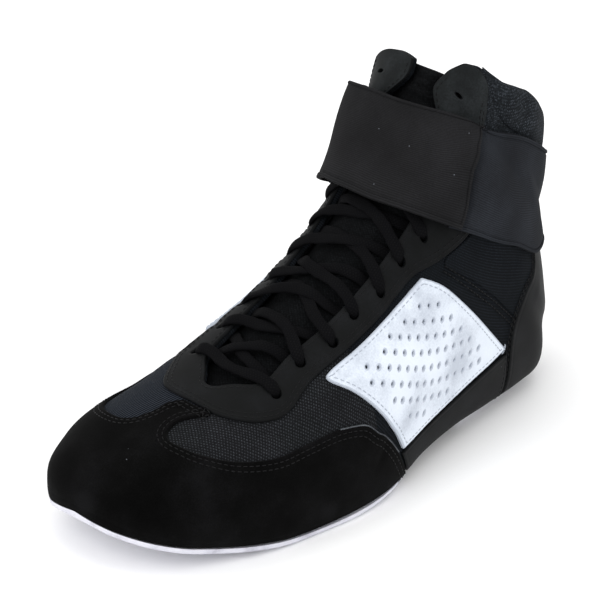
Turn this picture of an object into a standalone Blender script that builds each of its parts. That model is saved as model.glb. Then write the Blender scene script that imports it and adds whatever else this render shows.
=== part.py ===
# Wrestling shoe for the left foot. Metres, +Z up, toe toward -Y, outer (lateral) side toward +X.
# Every piece of the upper is cut from one function, surface(), which gives the outside of the shoe from a
# table of sections. t runs from the toe tip, 0, past the collar, and v runs round a section: 0 on top of the
# foot, 1 at the sole's edge or heel seam on the outer side, and -1 on the inner side.
import math

import bmesh
import bpy
from mathutils import Vector

for old in list(bpy.data.objects):
    bpy.data.objects.remove(old, do_unlink=True)

# Driving dimensions of the last
SHOE_LENGTH = 0.280
BALL_WIDTH = 0.100
COLLAR_HEIGHT = 0.140

# Thickness of the materials
UPPER_WALL = 0.0020
OVERLAY = 0.0012
SADDLE = 0.0014
TONGUE = 0.0045
COLLAR_PAD = 0.0065
STRAP = 0.0020
HEEL_STRAP = 0.0022
STRAP_STANDOFF = 0.0050
INSOLE = 0.0035
BALL_SOLE = 0.0032
MIDSOLE = 0.0015

# Fits and small sizes
GAP = 0.0003
SOLE_FLARE = 0.0016
SOLE_EDGE = 0.0012
HEEL_PAD_INSET = 0.0050
BOARD_INSET = 0.0004
BOARD_GAP = 0.0005
INSOLE_INSET = 0.0008
EYELET_RADIUS = 0.0021
EYELET_SIDES = 6
EAR_HOLE_RADIUS = 0.0018
LACE_RADIUS = 0.0020
LACE_SIDES = 5
PAD_RISE = 0.15
PAD_DEPTH = 1.25
PAD_CLEARANCE = 0.0008
TONGUE_CLEARANCE = 0.0007
LACE_CLEARANCE = 0.0018
LACE_STEPS = 5
PUNCH_PAST = 0.0020

# Sections of the last from the toe tip to above the collar. Each lies in the plane through its low and high
# points on the middle line. Lengths along Y are shares of the shoe's length, heights are shares of the
# collar's height, and widths are shares of the ball's width. widest is the height of the widest place in the
# section, and the last two columns are how square it is above and below that place.
SECTION_COLUMNS = (
    "low_y", "low_z", "high_y", "high_z", "lateral", "medial", "lateral_foot", "medial_foot",
    "widest", "square_up", "square_down",
)
SECTIONS = (
    (0.008, 0.160, 0.008, 0.170, 0.000, 0.000, 0.000, 0.000, 0.40, 2.0, 2.0),
    (0.012, 0.147, 0.014, 0.221, 0.125, 0.115, 0.110, 0.100, 0.42, 2.2, 2.2),
    (0.025, 0.129, 0.029, 0.261, 0.225, 0.215, 0.210, 0.200, 0.38, 2.3, 2.2),
    (0.055, 0.103, 0.058, 0.300, 0.325, 0.315, 0.308, 0.295, 0.34, 2.3, 2.2),
    (0.103, 0.074, 0.108, 0.346, 0.408, 0.395, 0.388, 0.370, 0.32, 2.3, 2.2),
    (0.176, 0.044, 0.181, 0.390, 0.475, 0.455, 0.455, 0.430, 0.30, 2.2, 2.2),
    (0.265, 0.0228, 0.270, 0.440, 0.512, 0.480, 0.492, 0.455, 0.28, 2.2, 2.2),
    (0.360, 0.0228, 0.362, 0.515, 0.520, 0.470, 0.504, 0.430, 0.28, 2.2, 2.2),
    (0.450, 0.036, 0.450, 0.605, 0.503, 0.440, 0.478, 0.375, 0.30, 2.2, 2.2),
    (0.550, 0.054, 0.520, 0.695, 0.455, 0.420, 0.390, 0.325, 0.33, 2.2, 2.2),
    (0.650, 0.060, 0.573, 0.780, 0.425, 0.410, 0.332, 0.292, 0.38, 2.3, 2.2),
    (0.750, 0.052, 0.612, 0.860, 0.403, 0.405, 0.296, 0.275, 0.43, 2.5, 2.2),
    (0.840, 0.045, 0.636, 0.935, 0.392, 0.397, 0.264, 0.258, 0.48, 2.7, 2.1),
    (0.908, 0.045, 0.653, 1.005, 0.400, 0.398, 0.205, 0.200, 0.52, 2.8, 2.0),
    (0.959, 0.068, 0.666, 1.065, 0.382, 0.390, 0.000, 0.000, 0.54, 2.9, 1.85),
    (0.979, 0.180, 0.677, 1.115, 0.351, 0.376, 0.000, 0.000, 0.54, 2.9, 1.55),
    (0.954, 0.320, 0.686, 1.155, 0.342, 0.368, 0.000, 0.000, 0.54, 2.9, 1.5),
    (0.926, 0.480, 0.694, 1.195, 0.338, 0.364, 0.000, 0.000, 0.54, 2.9, 1.6),
    (0.926, 0.640, 0.701, 1.235, 0.341, 0.362, 0.000, 0.000, 0.53, 2.9, 1.85),
    (0.929, 0.800, 0.707, 1.280, 0.341, 0.363, 0.000, 0.000, 0.52, 2.9, 1.9),
    (0.937, 0.950, 0.712, 1.325, 0.348, 0.366, 0.000, 0.000, 0.52, 2.9, 1.9),
    (0.944, 1.100, 0.717, 1.375, 0.354, 0.371, 0.000, 0.000, 0.52, 2.9, 1.9),
)
COLUMN = {name: [row[n] for row in SECTIONS] for n, name in enumerate(SECTION_COLUMNS)}

# The last's middle line: share of the length, and its offset as a share of the ball's width
MIDDLE_LINE = ((0.0, -0.10), (0.10, -0.065), (0.25, -0.02), (0.45, 0.02), (0.65, 0.02), (1.0, 0.0))

HEEL_SEAM = 14
FEATHER = 0.955
HALF_STEPS = 32

# Lines along which the surface is faceted, shared by every piece that lies on it
T_LINES = (0, 0.5, 1, 1.5, 2, 2.5, 3, 3.5, 4, 5, 6, 7, 8, 9, 10, 11, 12, 13, 13.5, 14, 15, 16, 17, 18, 19, 20)
HALF_V = (0.09, 0.18, 0.27, 0.36, 0.45, 0.54, 0.63, 0.72, 0.81, 0.89, FEATHER, 1.0)
V_LINES = tuple(-v for v in reversed(HALF_V)) + (0.0,) + HALF_V

# Pattern of the throat and the stay round it: t, then v of its outer and inner edge on each side
STAY = (
    (5.85, 0.400, 0.130, -0.030, -0.270),
    (6.20, 0.410, 0.225, -0.115, -0.310),
    (6.80, 0.350, 0.200, -0.145, -0.300),
    (7.50, 0.335, 0.200, -0.160, -0.300),
    (8.50, 0.325, 0.195, -0.170, -0.300),
    (9.50, 0.305, 0.185, -0.170, -0.290),
    (10.50, 0.330, 0.170, -0.160, -0.310),
    (12.00, 0.330, 0.140, -0.135, -0.310),
    (14.00, 0.285, 0.090, -0.060, -0.255),
    (15.50, 0.215, 0.068, -0.015, -0.205),
    (16.80, 0.222, 0.100, -0.010, -0.182),
)
# The stay's round end on the vamp, outer edge and throat, and the round top of each ear
STAY_TOE = ((5.45, -0.200), (5.25, -0.110), (5.20, 0.060), (5.25, 0.230), (5.50, 0.340))
THROAT_TOE = ((5.68, 0.015), (5.64, 0.050), (5.68, 0.085))
OUTER_EAR = ((17.50, 0.128), (18.02, 0.158), (18.22, 0.190), (18.12, 0.220), (17.70, 0.232))
INNER_EAR = ((17.00, -0.018), (17.22, -0.055), (17.27, -0.095), (17.20, -0.135), (17.00, -0.168))

# The collar's edge behind the ears: v, t on the outer side and t on the inner side
COLLAR = (
    (0.225, 18.46, 17.25),
    (0.280, 18.50, 17.55),
    (0.350, 18.64, 18.00),
    (0.440, 19.00, 18.60),
    (0.520, 19.26, 18.98),
    (0.620, 19.36, 19.24),
    (0.780, 19.38, 19.36),
    (1.000, 19.40, 19.40),
)

# Eyelets: t, v on the outer side and v on the inner side
EYELETS = (
    (6.22, 0.310, -0.200),
    (6.85, 0.258, -0.215),
    (7.45, 0.276, -0.242),
    (8.03, 0.248, -0.222),
    (8.72, 0.262, -0.242),
    (9.52, 0.238, -0.225),
    (10.36, 0.236, -0.228),
    (11.30, 0.208, -0.205),
)
EAR_HOLES = ((16.07, 0.142), (15.65, -0.105))

# Flat patterns of the overlays as t and v
TOE_CAP = (
    (8.42, 0.955), (8.08, 0.840), (7.76, 0.735), (7.56, 0.690), (7.30, 0.625), (6.83, 0.585), (6.21, 0.572),
    (5.59, 0.565), (4.95, 0.515), (4.50, 0.420), (4.30, 0.310), (4.27, 0.235), (4.42, 0.180), (4.72, 0.158),
    (5.00, 0.180), (5.17, 0.205), (5.17, 0.050), (4.97, 0.000), (4.60, -0.020), (4.32, -0.065),
    (4.20, -0.150), (4.27, -0.270), (4.50, -0.380), (4.95, -0.470), (5.60, -0.525), (6.30, -0.540),
    (7.00, -0.570), (7.35, -0.625), (7.56, -0.680), (7.80, -0.740), (8.08, -0.840), (8.36, -0.955),
)
WAIST_BAND = (
    (8.47, 0.955), (8.21, 0.866), (8.70, 0.856), (9.90, 0.832),
    (10.93, 0.806), (11.55, 0.798), (11.28, 0.955),
)
SADDLE_PATTERN = (
    (7.00, 0.362), (7.80, 0.352), (8.70, 0.342), (9.72, 0.328), (10.15, 0.400), (10.55, 0.500),
    (11.00, 0.620), (11.52, 0.772), (10.93, 0.788), (9.90, 0.814), (8.70, 0.840), (8.22, 0.845),
    (8.05, 0.740), (7.75, 0.610), (7.40, 0.485),
)
COUNTER = (
    (14.90, 0.520), (14.17, 0.560), (13.20, 0.620), (12.30, 0.684), (11.72, 0.790), (11.36, 0.955),
    (13.40, 0.955), (14.05, 1.000), (17.80, 1.000), (17.20, 0.850), (16.20, 0.680),
)

# The strap across the ankle: v and t of its lower edge, v and t of its upper edge, and how far the inside of
# each edge stands off the last, as a share of the standoff at its ends
FRONT_STRAP = (
    (-0.620, 15.00, -0.620, 18.10, 1.00, 1.00),
    (-0.520, 13.85, -0.520, 17.70, 1.00, 1.00),
    (-0.420, 12.55, -0.420, 17.05, 1.04, 1.06),
    (-0.340, 11.65, -0.330, 16.25, 1.20, 1.32),
    (-0.270, 11.05, -0.250, 15.50, 1.46, 1.58),
    (-0.200, 10.72, -0.170, 14.92, 1.50, 1.62),
    (-0.100, 10.30, -0.095, 14.45, 1.38, 1.60),
    (0.000, 10.16, -0.010, 14.26, 1.28, 1.58),
    (0.075, 10.20, 0.050, 14.30, 1.30, 1.58),
    (0.150, 10.40, 0.105, 14.50, 1.46, 1.54),
    (0.220, 10.76, 0.155, 14.84, 1.46, 1.38),
    (0.290, 11.28, 0.200, 15.25, 0.96, 1.00),
)
# Its rear half, round the heel, the same on both sides: v and t of the lower and of the upper edge
HEEL_STRAP_PATTERN = (
    (0.270, 11.10, 0.180, 15.15),
    (0.330, 11.62, 0.260, 15.95),
    (0.400, 12.30, 0.350, 16.85),
    (0.470, 13.15, 0.450, 17.62),
    (0.560, 14.30, 0.560, 18.08),
    (0.660, 15.35, 0.680, 18.38),
    (0.800, 16.35, 0.820, 18.68),
    (1.000, 16.90, 1.000, 18.85),
)

# Thickness of the front sole, as shares of its thickness at the ball, by t
FRONT_SOLE = ((0.0, 0.60), (1.0, 0.70), (2.0, 0.85), (4.0, 1.0), (7.0, 1.0), (8.0, 0.85), (8.40, 0.45))

# Sections of the board under waist and heel, and of the rubber pad under it, which reaches down to the floor
BOARD_LINES = (8.45, 9, 10, 11, 12, 13, 13.5, 13.8)
HEEL_PAD_LINES = (10.4, 10.8, 11, 11.4, 12, 12.5, 13, 13.5, 13.6)

# The tongue: t, its width and thickness as shares, how far its middle lies to the outer side in v, and how
# far it swells up into the throat as a share of the upper's wall
TONGUE_ROWS = (
    (5.45, 0.56, 0.45, 0.048, 0.03),
    (6.20, 0.90, 0.70, 0.034, 0.50),
    (7.00, 0.94, 0.82, 0.020, 1.00),
    (9.00, 0.99, 0.90, 0.000, 1.00),
    (12.00, 0.96, 1.00, 0.000, 1.00),
    (14.00, 0.90, 1.12, 0.012, 0.70),
    (15.80, 0.83, 1.25, 0.030, 0.50),
    (16.55, 0.80, 0.60, 0.036, 0.40),
)
TONGUE_HALF = 0.27
TONGUE_EDGE = 0.55
TONGUE_FADE = 2.2
THROAT_MARGIN = 0.02

# The collar's roll: share of its depth, and how thick it is there
PAD_START = 0.30
PAD_SHAPE = ((0.0, 0.15), (0.15, 0.65), (0.45, 1.0), (0.8, 0.95), (0.95, 0.60), (1.0, 0.25))
PAD_LIP = 0.0012
PAD_TAPER = (0.35, 6.0)


def linked(rows, at, column=1):
    """Value of a table's column at a place between its rows."""
    for before, after in zip(rows, rows[1:]):
        if at <= after[0]:
            share = max(0.0, (at - before[0]) / (after[0] - before[0]))
            return before[column] + (after[column] - before[column]) * share
    return rows[-1][column]


def smooth(values, t):
    """A curve through values that stand at 0, 1, 2 and so on."""
    n = min(int(t), len(values) - 2)
    f = t - n
    a = values[max(n - 1, 0)]
    b = values[n]
    c = values[n + 1]
    d = values[min(n + 2, len(values) - 1)]
    return b + 0.5 * f * (c - a + f * (2 * a - 5 * b + 4 * c - d + f * (3 * (b - c) + d - a)))


def section_at(t):
    return {name: smooth(values, t) for name, values in COLUMN.items()}


def middle_at(y_share):
    """The middle line's offset along X at a share of the length."""
    for (s0, x0), (s1, x1) in zip(MIDDLE_LINE, MIDDLE_LINE[1:]):
        if y_share <= s1:
            f = max(0.0, (y_share - s0) / (s1 - s0))
            return (x0 + (x1 - x0) * f * f * (3 - 2 * f)) * BALL_WIDTH
    return MIDDLE_LINE[-1][1] * BALL_WIDTH


half_sections = {}


def half_section(t, side):
    """Points down one half of a section from the top of the foot, and their lengths along it."""
    key = (round(t, 6), side)
    if key in half_sections:
        return half_sections[key]
    row = section_at(t)
    name = "lateral" if side > 0 else "medial"
    width = row[name] * BALL_WIDTH
    foot = min(max(row[name + "_foot"], 0.0) * BALL_WIDTH, width)
    widest = row["widest"]
    points = []
    for n in range(2 * HALF_STEPS + 1):
        if n <= HALF_STEPS:
            angle = 0.5 * math.pi * n / HALF_STEPS
            x = width * math.sin(angle) ** (2 / row["square_up"])
            share = widest + (1 - widest) * math.cos(angle) ** (2 / row["square_up"])
        else:
            angle = 0.5 * math.pi * (n - HALF_STEPS) / HALF_STEPS
            x = foot + (width - foot) * max(math.cos(angle), 0.0) ** (2 / row["square_down"])
            share = widest * (1 - math.sin(angle) ** (2 / row["square_down"]))
        y_share = row["low_y"] + (row["high_y"] - row["low_y"]) * share
        z_share = row["low_z"] + (row["high_z"] - row["low_z"]) * share
        points.append(Vector((
            middle_at(y_share) + side * x,
            (y_share - 0.5) * SHOE_LENGTH,
            z_share * COLLAR_HEIGHT,
        )))
    run = [0.0]
    for a, b in zip(points, points[1:]):
        run.append(run[-1] + (b - a).length)
    half_sections[key] = (points, run)
    return points, run


def surface(t, v):
    """Point on the outside of the shoe."""
    points, run = half_section(t, 1 if v >= 0 else -1)
    want = min(abs(v), 1.0) * run[-1]
    low = 0
    high = len(run) - 1
    while high - low > 1:
        mid = (low + high) // 2
        if run[mid] <= want:
            low = mid
        else:
            high = mid
    span = run[high] - run[low]
    return points[low].lerp(points[high], (want - run[low]) / span if span > 0 else 0.0)


def normal(t, v):
    """Direction straight out of the shoe."""
    if t < 0.01:
        return Vector((0, -1, 0))
    step_t = 0.04
    step_v = 0.02
    along = surface(min(t + step_t, len(SECTIONS) - 1), v) - surface(max(t - step_t, 0), v)
    if abs(v) > 1 - 0.01 * step_v or (t >= HEEL_SEAM and abs(v) > 1 - step_v):
        across = Vector((-1, 0, 0))
    else:
        across = surface(t, min(v + step_v, 1)) - surface(t, max(v - step_v, -1))
    return along.cross(across).normalized() * -1


grid_points = [[surface(t, v) for v in V_LINES] for t in T_LINES]
grid_normals = [[normal(t, v) for v in V_LINES] for t in T_LINES]


def line_index(lines, value):
    """Place of a value among the grid's lines, as a number with a fraction."""
    for n, (a, b) in enumerate(zip(lines, lines[1:])):
        if value <= b or n == len(lines) - 2:
            return n + (value - a) / (b - a)


def on_facet(row, col, lift):
    """Point over the faceted surface, from its place among the grid's lines."""
    i = min(int(row), len(T_LINES) - 2)
    j = min(int(col), len(V_LINES) - 2)
    a = row - i
    b = col - j

    def corner(m, n):
        return grid_points[i + m][j + n] + grid_normals[i + m][j + n] * lift

    if a >= b:
        return corner(0, 0) * (1 - a) + corner(1, 0) * (a - b) + corner(1, 1) * b
    return corner(0, 0) * (1 - b) + corner(0, 1) * (b - a) + corner(1, 1) * a


def over(t, v, lift):
    """Point over the faceted surface. v past 1 goes on round the heel to the inner side."""
    if v > 1:
        v -= 2
    return on_facet(line_index(T_LINES, t), line_index(V_LINES, v), lift)


def material(name, colour, roughness, metallic=0.0):
    made = bpy.data.materials.new(name)
    made.use_nodes = True
    shader = made.node_tree.nodes["Principled BSDF"]
    shader.inputs["Base Color"].default_value = (*colour, 1.0)
    shader.inputs["Roughness"].default_value = roughness
    shader.inputs["Metallic"].default_value = metallic
    return made


MESH = material("knit mesh", (0.030, 0.032, 0.038), 0.90)
SUEDE = material("black suede", (0.012, 0.012, 0.013), 0.95)
SYNTHETIC = material("smooth synthetic", (0.020, 0.021, 0.024), 0.55)
WHITE = material("white synthetic", (0.78, 0.80, 0.84), 0.45)
LINING = material("padded lining", (0.035, 0.038, 0.050), 0.90)
ELASTIC = material("elastic webbing", (0.030, 0.030, 0.034), 0.75)
CORD = material("round lace", (0.015, 0.015, 0.017), 0.80)
FOAM = material("insole foam", (0.050, 0.052, 0.060), 0.90)
RUBBER = material("white rubber", (0.70, 0.70, 0.76), 0.55)
BOARD = material("black sole board", (0.018, 0.018, 0.020), 0.70)


def finish(name, bm, mat):
    """Turns a bmesh into an object whose faces point out."""
    bmesh.ops.remove_doubles(bm, verts=bm.verts, dist=1e-6)
    bmesh.ops.dissolve_degenerate(bm, edges=bm.edges, dist=1e-6)
    bmesh.ops.recalc_face_normals(bm, faces=bm.faces)
    if bm.calc_volume(signed=True) < 0:
        bmesh.ops.reverse_faces(bm, faces=bm.faces)
    mesh = bpy.data.meshes.new(name)
    bm.to_mesh(mesh)
    bm.free()
    mesh.materials.append(mat)
    made = bpy.data.objects.new(name, mesh)
    bpy.context.scene.collection.objects.link(made)
    return made


def on_seam(a, b):
    """True for an edge at the toe's pole or on the heel seam, where the two halves of a pattern meet."""
    if a[0] < 1e-6 and b[0] < 1e-6:
        return True
    seam = line_index(T_LINES, HEEL_SEAM) - 1e-4
    ends = (0, len(V_LINES) - 1)
    return any(abs(a[1] - e) < 1e-5 and abs(b[1] - e) < 1e-5 and min(a[0], b[0]) >= seam for e in ends)


def panel(name, patterns, low, high, mat):
    """A piece cut to flat patterns of (t, v) and laid on the shoe, between two heights over the surface."""
    flat = bmesh.new()
    for pattern in patterns:
        corners = [flat.verts.new((line_index(T_LINES, t), line_index(V_LINES, v), 0)) for t, v in pattern]
        flat.faces.new(corners)
    rows = len(T_LINES)
    cols = len(V_LINES)
    cuts = [((n, 0, 0), (1, 0, 0)) for n in range(1, rows)]
    cuts += [((0, n, 0), (0, 1, 0)) for n in range(1, cols)]
    cuts += [((n, 0, 0), (1, -1, 0)) for n in range(-cols, rows)]
    for place, across in cuts:
        everything = flat.verts[:] + flat.edges[:] + flat.faces[:]
        bmesh.ops.bisect_plane(flat, geom=everything, dist=1e-5, plane_co=place, plane_no=across)
    bmesh.ops.triangulate(flat, faces=flat.faces)
    bm = bmesh.new()
    below = {}
    above = {}
    for vert in flat.verts:
        below[vert] = bm.verts.new(on_facet(vert.co.x, vert.co.y, low))
        above[vert] = bm.verts.new(on_facet(vert.co.x, vert.co.y, high))
    for face in flat.faces:
        bm.faces.new([above[v] for v in face.verts])
        bm.faces.new([below[v] for v in reversed(face.verts)])
    for edge in flat.edges:
        a, b = edge.verts
        if edge.is_boundary and not on_seam(a.co, b.co):
            bm.faces.new([below[a], below[b], above[b], above[a]])
    flat.free()
    return finish(name, bm, mat)


def slab(name, low, high, mat):
    """A closed sheet between two grids of points."""
    bm = bmesh.new()
    below = [[bm.verts.new(p) for p in row] for row in low]
    above = [[bm.verts.new(p) for p in row] for row in high]
    rows = len(low)
    cols = len(low[0])
    for i in range(rows - 1):
        for j in range(cols - 1):
            bm.faces.new([above[i][j], above[i + 1][j], above[i + 1][j + 1], above[i][j + 1]])
            bm.faces.new([below[i][j], below[i][j + 1], below[i + 1][j + 1], below[i + 1][j]])
    rim = [(i, 0) for i in range(rows)] + [(rows - 1, j) for j in range(1, cols)]
    rim += [(i, cols - 1) for i in range(rows - 2, -1, -1)] + [(0, j) for j in range(cols - 2, 0, -1)]
    for (i, j), (m, n) in zip(rim, rim[1:] + rim[:1]):
        bm.faces.new([below[i][j], below[m][n], above[m][n], above[i][j]])
    bmesh.ops.triangulate(bm, faces=[f for f in bm.faces if len(f.verts) > 4])
    return finish(name, bm, mat)


def mirrored(pattern):
    return [(t, -v) for t, v in reversed(pattern)]


def cut(target, cutter):
    """Cuts one closed shape out of another."""
    change = target.modifiers.new("cut", "BOOLEAN")
    change.operation = "DIFFERENCE"
    change.solver = "EXACT"
    change.object = cutter
    cutter.hide_render = True
    cutter.display_type = "WIRE"


def throat_edge(side):
    """The throat's edge on one side, from the vamp up to the ear."""
    column = 2 if side > 0 else 3
    return [(row[0], row[column]) for row in STAY]


def stay_edge(side):
    """The stay's outer edge on one side."""
    column = 1 if side > 0 else 4
    return [(row[0], row[column]) for row in STAY]


def build_upper():
    outline = [(0, 1), (HEEL_SEAM, 1)]
    outline += [(row[1], row[0]) for row in reversed(COLLAR)]
    outline += list(reversed(OUTER_EAR[:3]))
    outline += list(reversed(throat_edge(1)))
    outline += list(reversed(THROAT_TOE))
    outline += throat_edge(-1)
    outline += list(INNER_EAR[:3])
    outline += [(row[2], -row[0]) for row in COLLAR]
    outline += [(HEEL_SEAM, -1), (0, -1)]
    return panel("upper", [outline], -UPPER_WALL, 0.0, MESH)


def build_stay():
    outline = stay_edge(1)
    outline += list(reversed(OUTER_EAR))
    outline += list(reversed(throat_edge(1)))
    outline += list(reversed(THROAT_TOE))
    outline += throat_edge(-1)
    outline += list(INNER_EAR)
    outline += list(reversed(stay_edge(-1)))
    outline += list(STAY_TOE)
    return panel("eyestay", [outline], GAP, GAP + OVERLAY, SYNTHETIC)


def build_eyelet_cutter():
    """Round punches through the stay and the upper, one for each eyelet and ear hole."""
    bm = bmesh.new()
    holes = []
    for t, outer, inner in EYELETS:
        holes += [(t, outer, EYELET_RADIUS), (t, inner, EYELET_RADIUS)]
    for t, v in EAR_HOLES:
        holes.append((t, v, EAR_HOLE_RADIUS))
    reach = UPPER_WALL + OVERLAY + PUNCH_PAST
    for t, v, radius in holes:
        turn = normal(t, v).to_track_quat("Z", "Y").to_matrix().to_4x4()
        turn.translation = surface(t, v)
        bmesh.ops.create_cone(
            bm, cap_ends=True, segments=EYELET_SIDES, radius1=radius, radius2=radius, depth=2 * reach,
            matrix=turn,
        )
    return finish("eyelet_punches", bm, SYNTHETIC)


def build_toe_cap():
    outline = [(0, -FEATHER), (0, FEATHER)] + list(TOE_CAP)
    return panel("toe_cap", [outline], GAP, GAP + OVERLAY, SUEDE)


def build_side_overlays():
    sides = (("lateral", list), ("medial", mirrored))
    for side, placed in sides:
        panel(f"waist_band_{side}", [placed(WAIST_BAND)], GAP, GAP + OVERLAY, SYNTHETIC)
        panel(f"saddle_{side}", [placed(SADDLE_PATTERN)], GAP, GAP + SADDLE, WHITE)
    panel("heel_counter", [list(COUNTER), mirrored(COUNTER)], GAP, GAP + OVERLAY, SYNTHETIC)


def build_tongue():
    """A padded tongue inside the throat, level with the upper's wall between the eyelets."""
    first = TONGUE_ROWS[0][0]
    last = TONGUE_ROWS[-1][0]
    throat = STAY[0][0]
    rows = [first, throat - 0.05] + [t for t in T_LINES if throat < t < last] + [last]
    low = []
    high = []
    for t in rows:
        spread, thick, shift, fill = (linked(TONGUE_ROWS, t, column) for column in range(1, 5))
        low_row = []
        high_row = []
        for n in range(-3, 4):
            place = TONGUE_HALF * n / 3 * spread + shift
            edge = linked(STAY, t, 2) if place > 0 else -linked(STAY, t, 3)
            room = max(edge, 2 * THROAT_MARGIN) - THROAT_MARGIN
            clear = max(0.0, 1.0 - abs(place) / room) if t > throat - 0.05 else 0.0
            top = -UPPER_WALL - TONGUE_CLEARANCE + fill * UPPER_WALL * min(1.0, TONGUE_FADE * clear)
            side = TONGUE_EDGE if abs(n) == 3 else 1.0
            high_row.append(over(t, place, top))
            low_row.append(over(t, place, top - thick * TONGUE * side))
        low.append(low_row)
        high.append(high_row)
    return slab("tongue", low, high, LINING)


def build_collar_pad():
    """A soft roll inside the collar, from ear to ear round the back."""
    places = [PAD_START] + [v for v in HALF_V if PAD_START < v < 1.0]
    places += [1.0] + [2 - v for v in reversed(places)]
    low = []
    high = []
    for v in places:
        edge = linked(COLLAR, v, 1) if v <= 1 else linked(COLLAR, 2 - v, 2)
        taper = min(1.0, PAD_TAPER[0] + PAD_TAPER[1] * (min(v, 2 - v) - PAD_START))
        low_row = []
        high_row = []
        for share, swell in PAD_SHAPE:
            t = edge - PAD_DEPTH + (PAD_DEPTH + PAD_RISE) * share
            outside = -UPPER_WALL - PAD_CLEARANCE - (PAD_LIP if share == 1.0 else 0.0)
            high_row.append(over(t, v, outside))
            low_row.append(over(t, v, -UPPER_WALL - PAD_CLEARANCE - COLLAR_PAD * swell * taper))
        low.append(low_row)
        high.append(high_row)
    return slab("collar_pad", low, high, LINING)


def build_straps():
    low = []
    high = []
    for row in FRONT_STRAP:
        low_row = []
        high_row = []
        for share in [n / 4 for n in range(5)]:
            v, t, inside = (row[n] + (row[m] - row[n]) * share for n, m in ((0, 2), (1, 3), (4, 5)))
            low_row.append(over(t, v, inside * STRAP_STANDOFF))
            high_row.append(over(t, v, inside * STRAP_STANDOFF + STRAP))
        low.append(low_row)
        high.append(high_row)
    slab("ankle_strap", low, high, ELASTIC)
    half = [(t, v) for v, t, v_high, t_high in HEEL_STRAP_PATTERN]
    half += [(t, v) for v_low, t_low, v, t in reversed(HEEL_STRAP_PATTERN)]
    low = GAP + OVERLAY + GAP
    panel("heel_strap", [half, mirrored(half)], low, low + HEEL_STRAP, ELASTIC)


def foot_edge(t, side, out, wall=0.0):
    """Point on the foot's outline moved outward in plan or in along X, and back from the toe's wall."""
    here = over(t, side, 0)
    step = 0.25
    if t < step:
        outward = Vector((0, -1, 0))
    else:
        ahead = over(min(t + step, HEEL_SEAM), side, 0) - over(t - step, side, 0)
        outward = Vector((ahead.y, -ahead.x, 0)).normalized() * side
    shift = outward * out if out > 0 else Vector((side * out, 0, 0))
    return here + shift - outward * wall * abs(outward.y)


def foot_row(t, out, z, shares, wall=0.0):
    """Points across the foot's outline at one section, at one height."""
    inner = foot_edge(t, -1, out, wall)
    outer = foot_edge(t, 1, out, wall)
    row = [inner.lerp(outer, (s + 1) / 2) for s in shares]
    return [Vector((p.x, p.y, z)) for p in row]


def feather_z(t):
    return over(t, 1, 0).z


def build_soles():
    """The front sole, the board under waist and heel, and the heel pad. Front and heel rest at z = 0."""
    across = (-1.0, -0.97, -0.5, 0.0, 0.5, 0.97, 1.0)
    lift = (SOLE_EDGE, 0.0, 0.0, 0.0, 0.0, 0.0, SOLE_EDGE)

    def sole(name, places, out, top, thickness, mat):
        low = []
        high = []
        for t in places:
            z_top = feather_z(t) - top
            z_low = max(0.0, z_top - thickness(t))
            edge = foot_row(t, out, z_low, across)
            upper_edge = foot_row(t, out, z_top, across)
            rise = min(1.0, (z_top - z_low) / (2.2 * SOLE_EDGE))
            for point, up in zip(edge, lift):
                point.z += up * rise
            low.append(edge)
            high.append(upper_edge)
        slab(name, low, high, mat)

    front = [t for t in T_LINES if t < FRONT_SOLE[-1][0]] + [FRONT_SOLE[-1][0]]
    sole("front_sole", front, SOLE_FLARE, GAP, lambda t: linked(FRONT_SOLE, t) * (BALL_SOLE - GAP), RUBBER)
    sole("sole_board", BOARD_LINES, -BOARD_INSET, BOARD_GAP, lambda t: MIDSOLE, BOARD)
    pad_top = BOARD_GAP + MIDSOLE + GAP
    sole("heel_sole", HEEL_PAD_LINES, -HEEL_PAD_INSET, pad_top, lambda t: feather_z(t) - pad_top, RUBBER)


def build_insole():
    rows = [t for t in T_LINES if 1.5 <= t <= 13.5]
    across = (-1.0, -0.5, 0.0, 0.5, 1.0)

    wall = UPPER_WALL + INSOLE_INSET

    def level(lift):
        return [foot_row(t, -INSOLE_INSET, feather_z(t) + lift, across, wall) for t in rows]

    low = level(GAP)
    high = level(GAP + INSOLE)
    return slab("insole", low, high, FOAM)


def tube(bm, points, radius, sides):
    """A capped round tube through points on a smooth route."""
    rings = []
    for n, point in enumerate(points):
        ahead = points[min(n + 1, len(points) - 1)] - points[max(n - 1, 0)]
        turn = ahead.to_track_quat("Z", "Y")
        ring = []
        for k in range(sides):
            angle = 2 * math.pi * k / sides
            ring.append(bm.verts.new(point + turn @ Vector((math.cos(angle), math.sin(angle), 0)) * radius))
        rings.append(ring)
    for a, b in zip(rings, rings[1:]):
        for k in range(sides):
            m = (k + 1) % sides
            bm.faces.new([a[k], a[m], b[m], b[k]])
    bm.faces.new(list(reversed(rings[0])))
    bm.faces.new(rings[-1])


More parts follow.
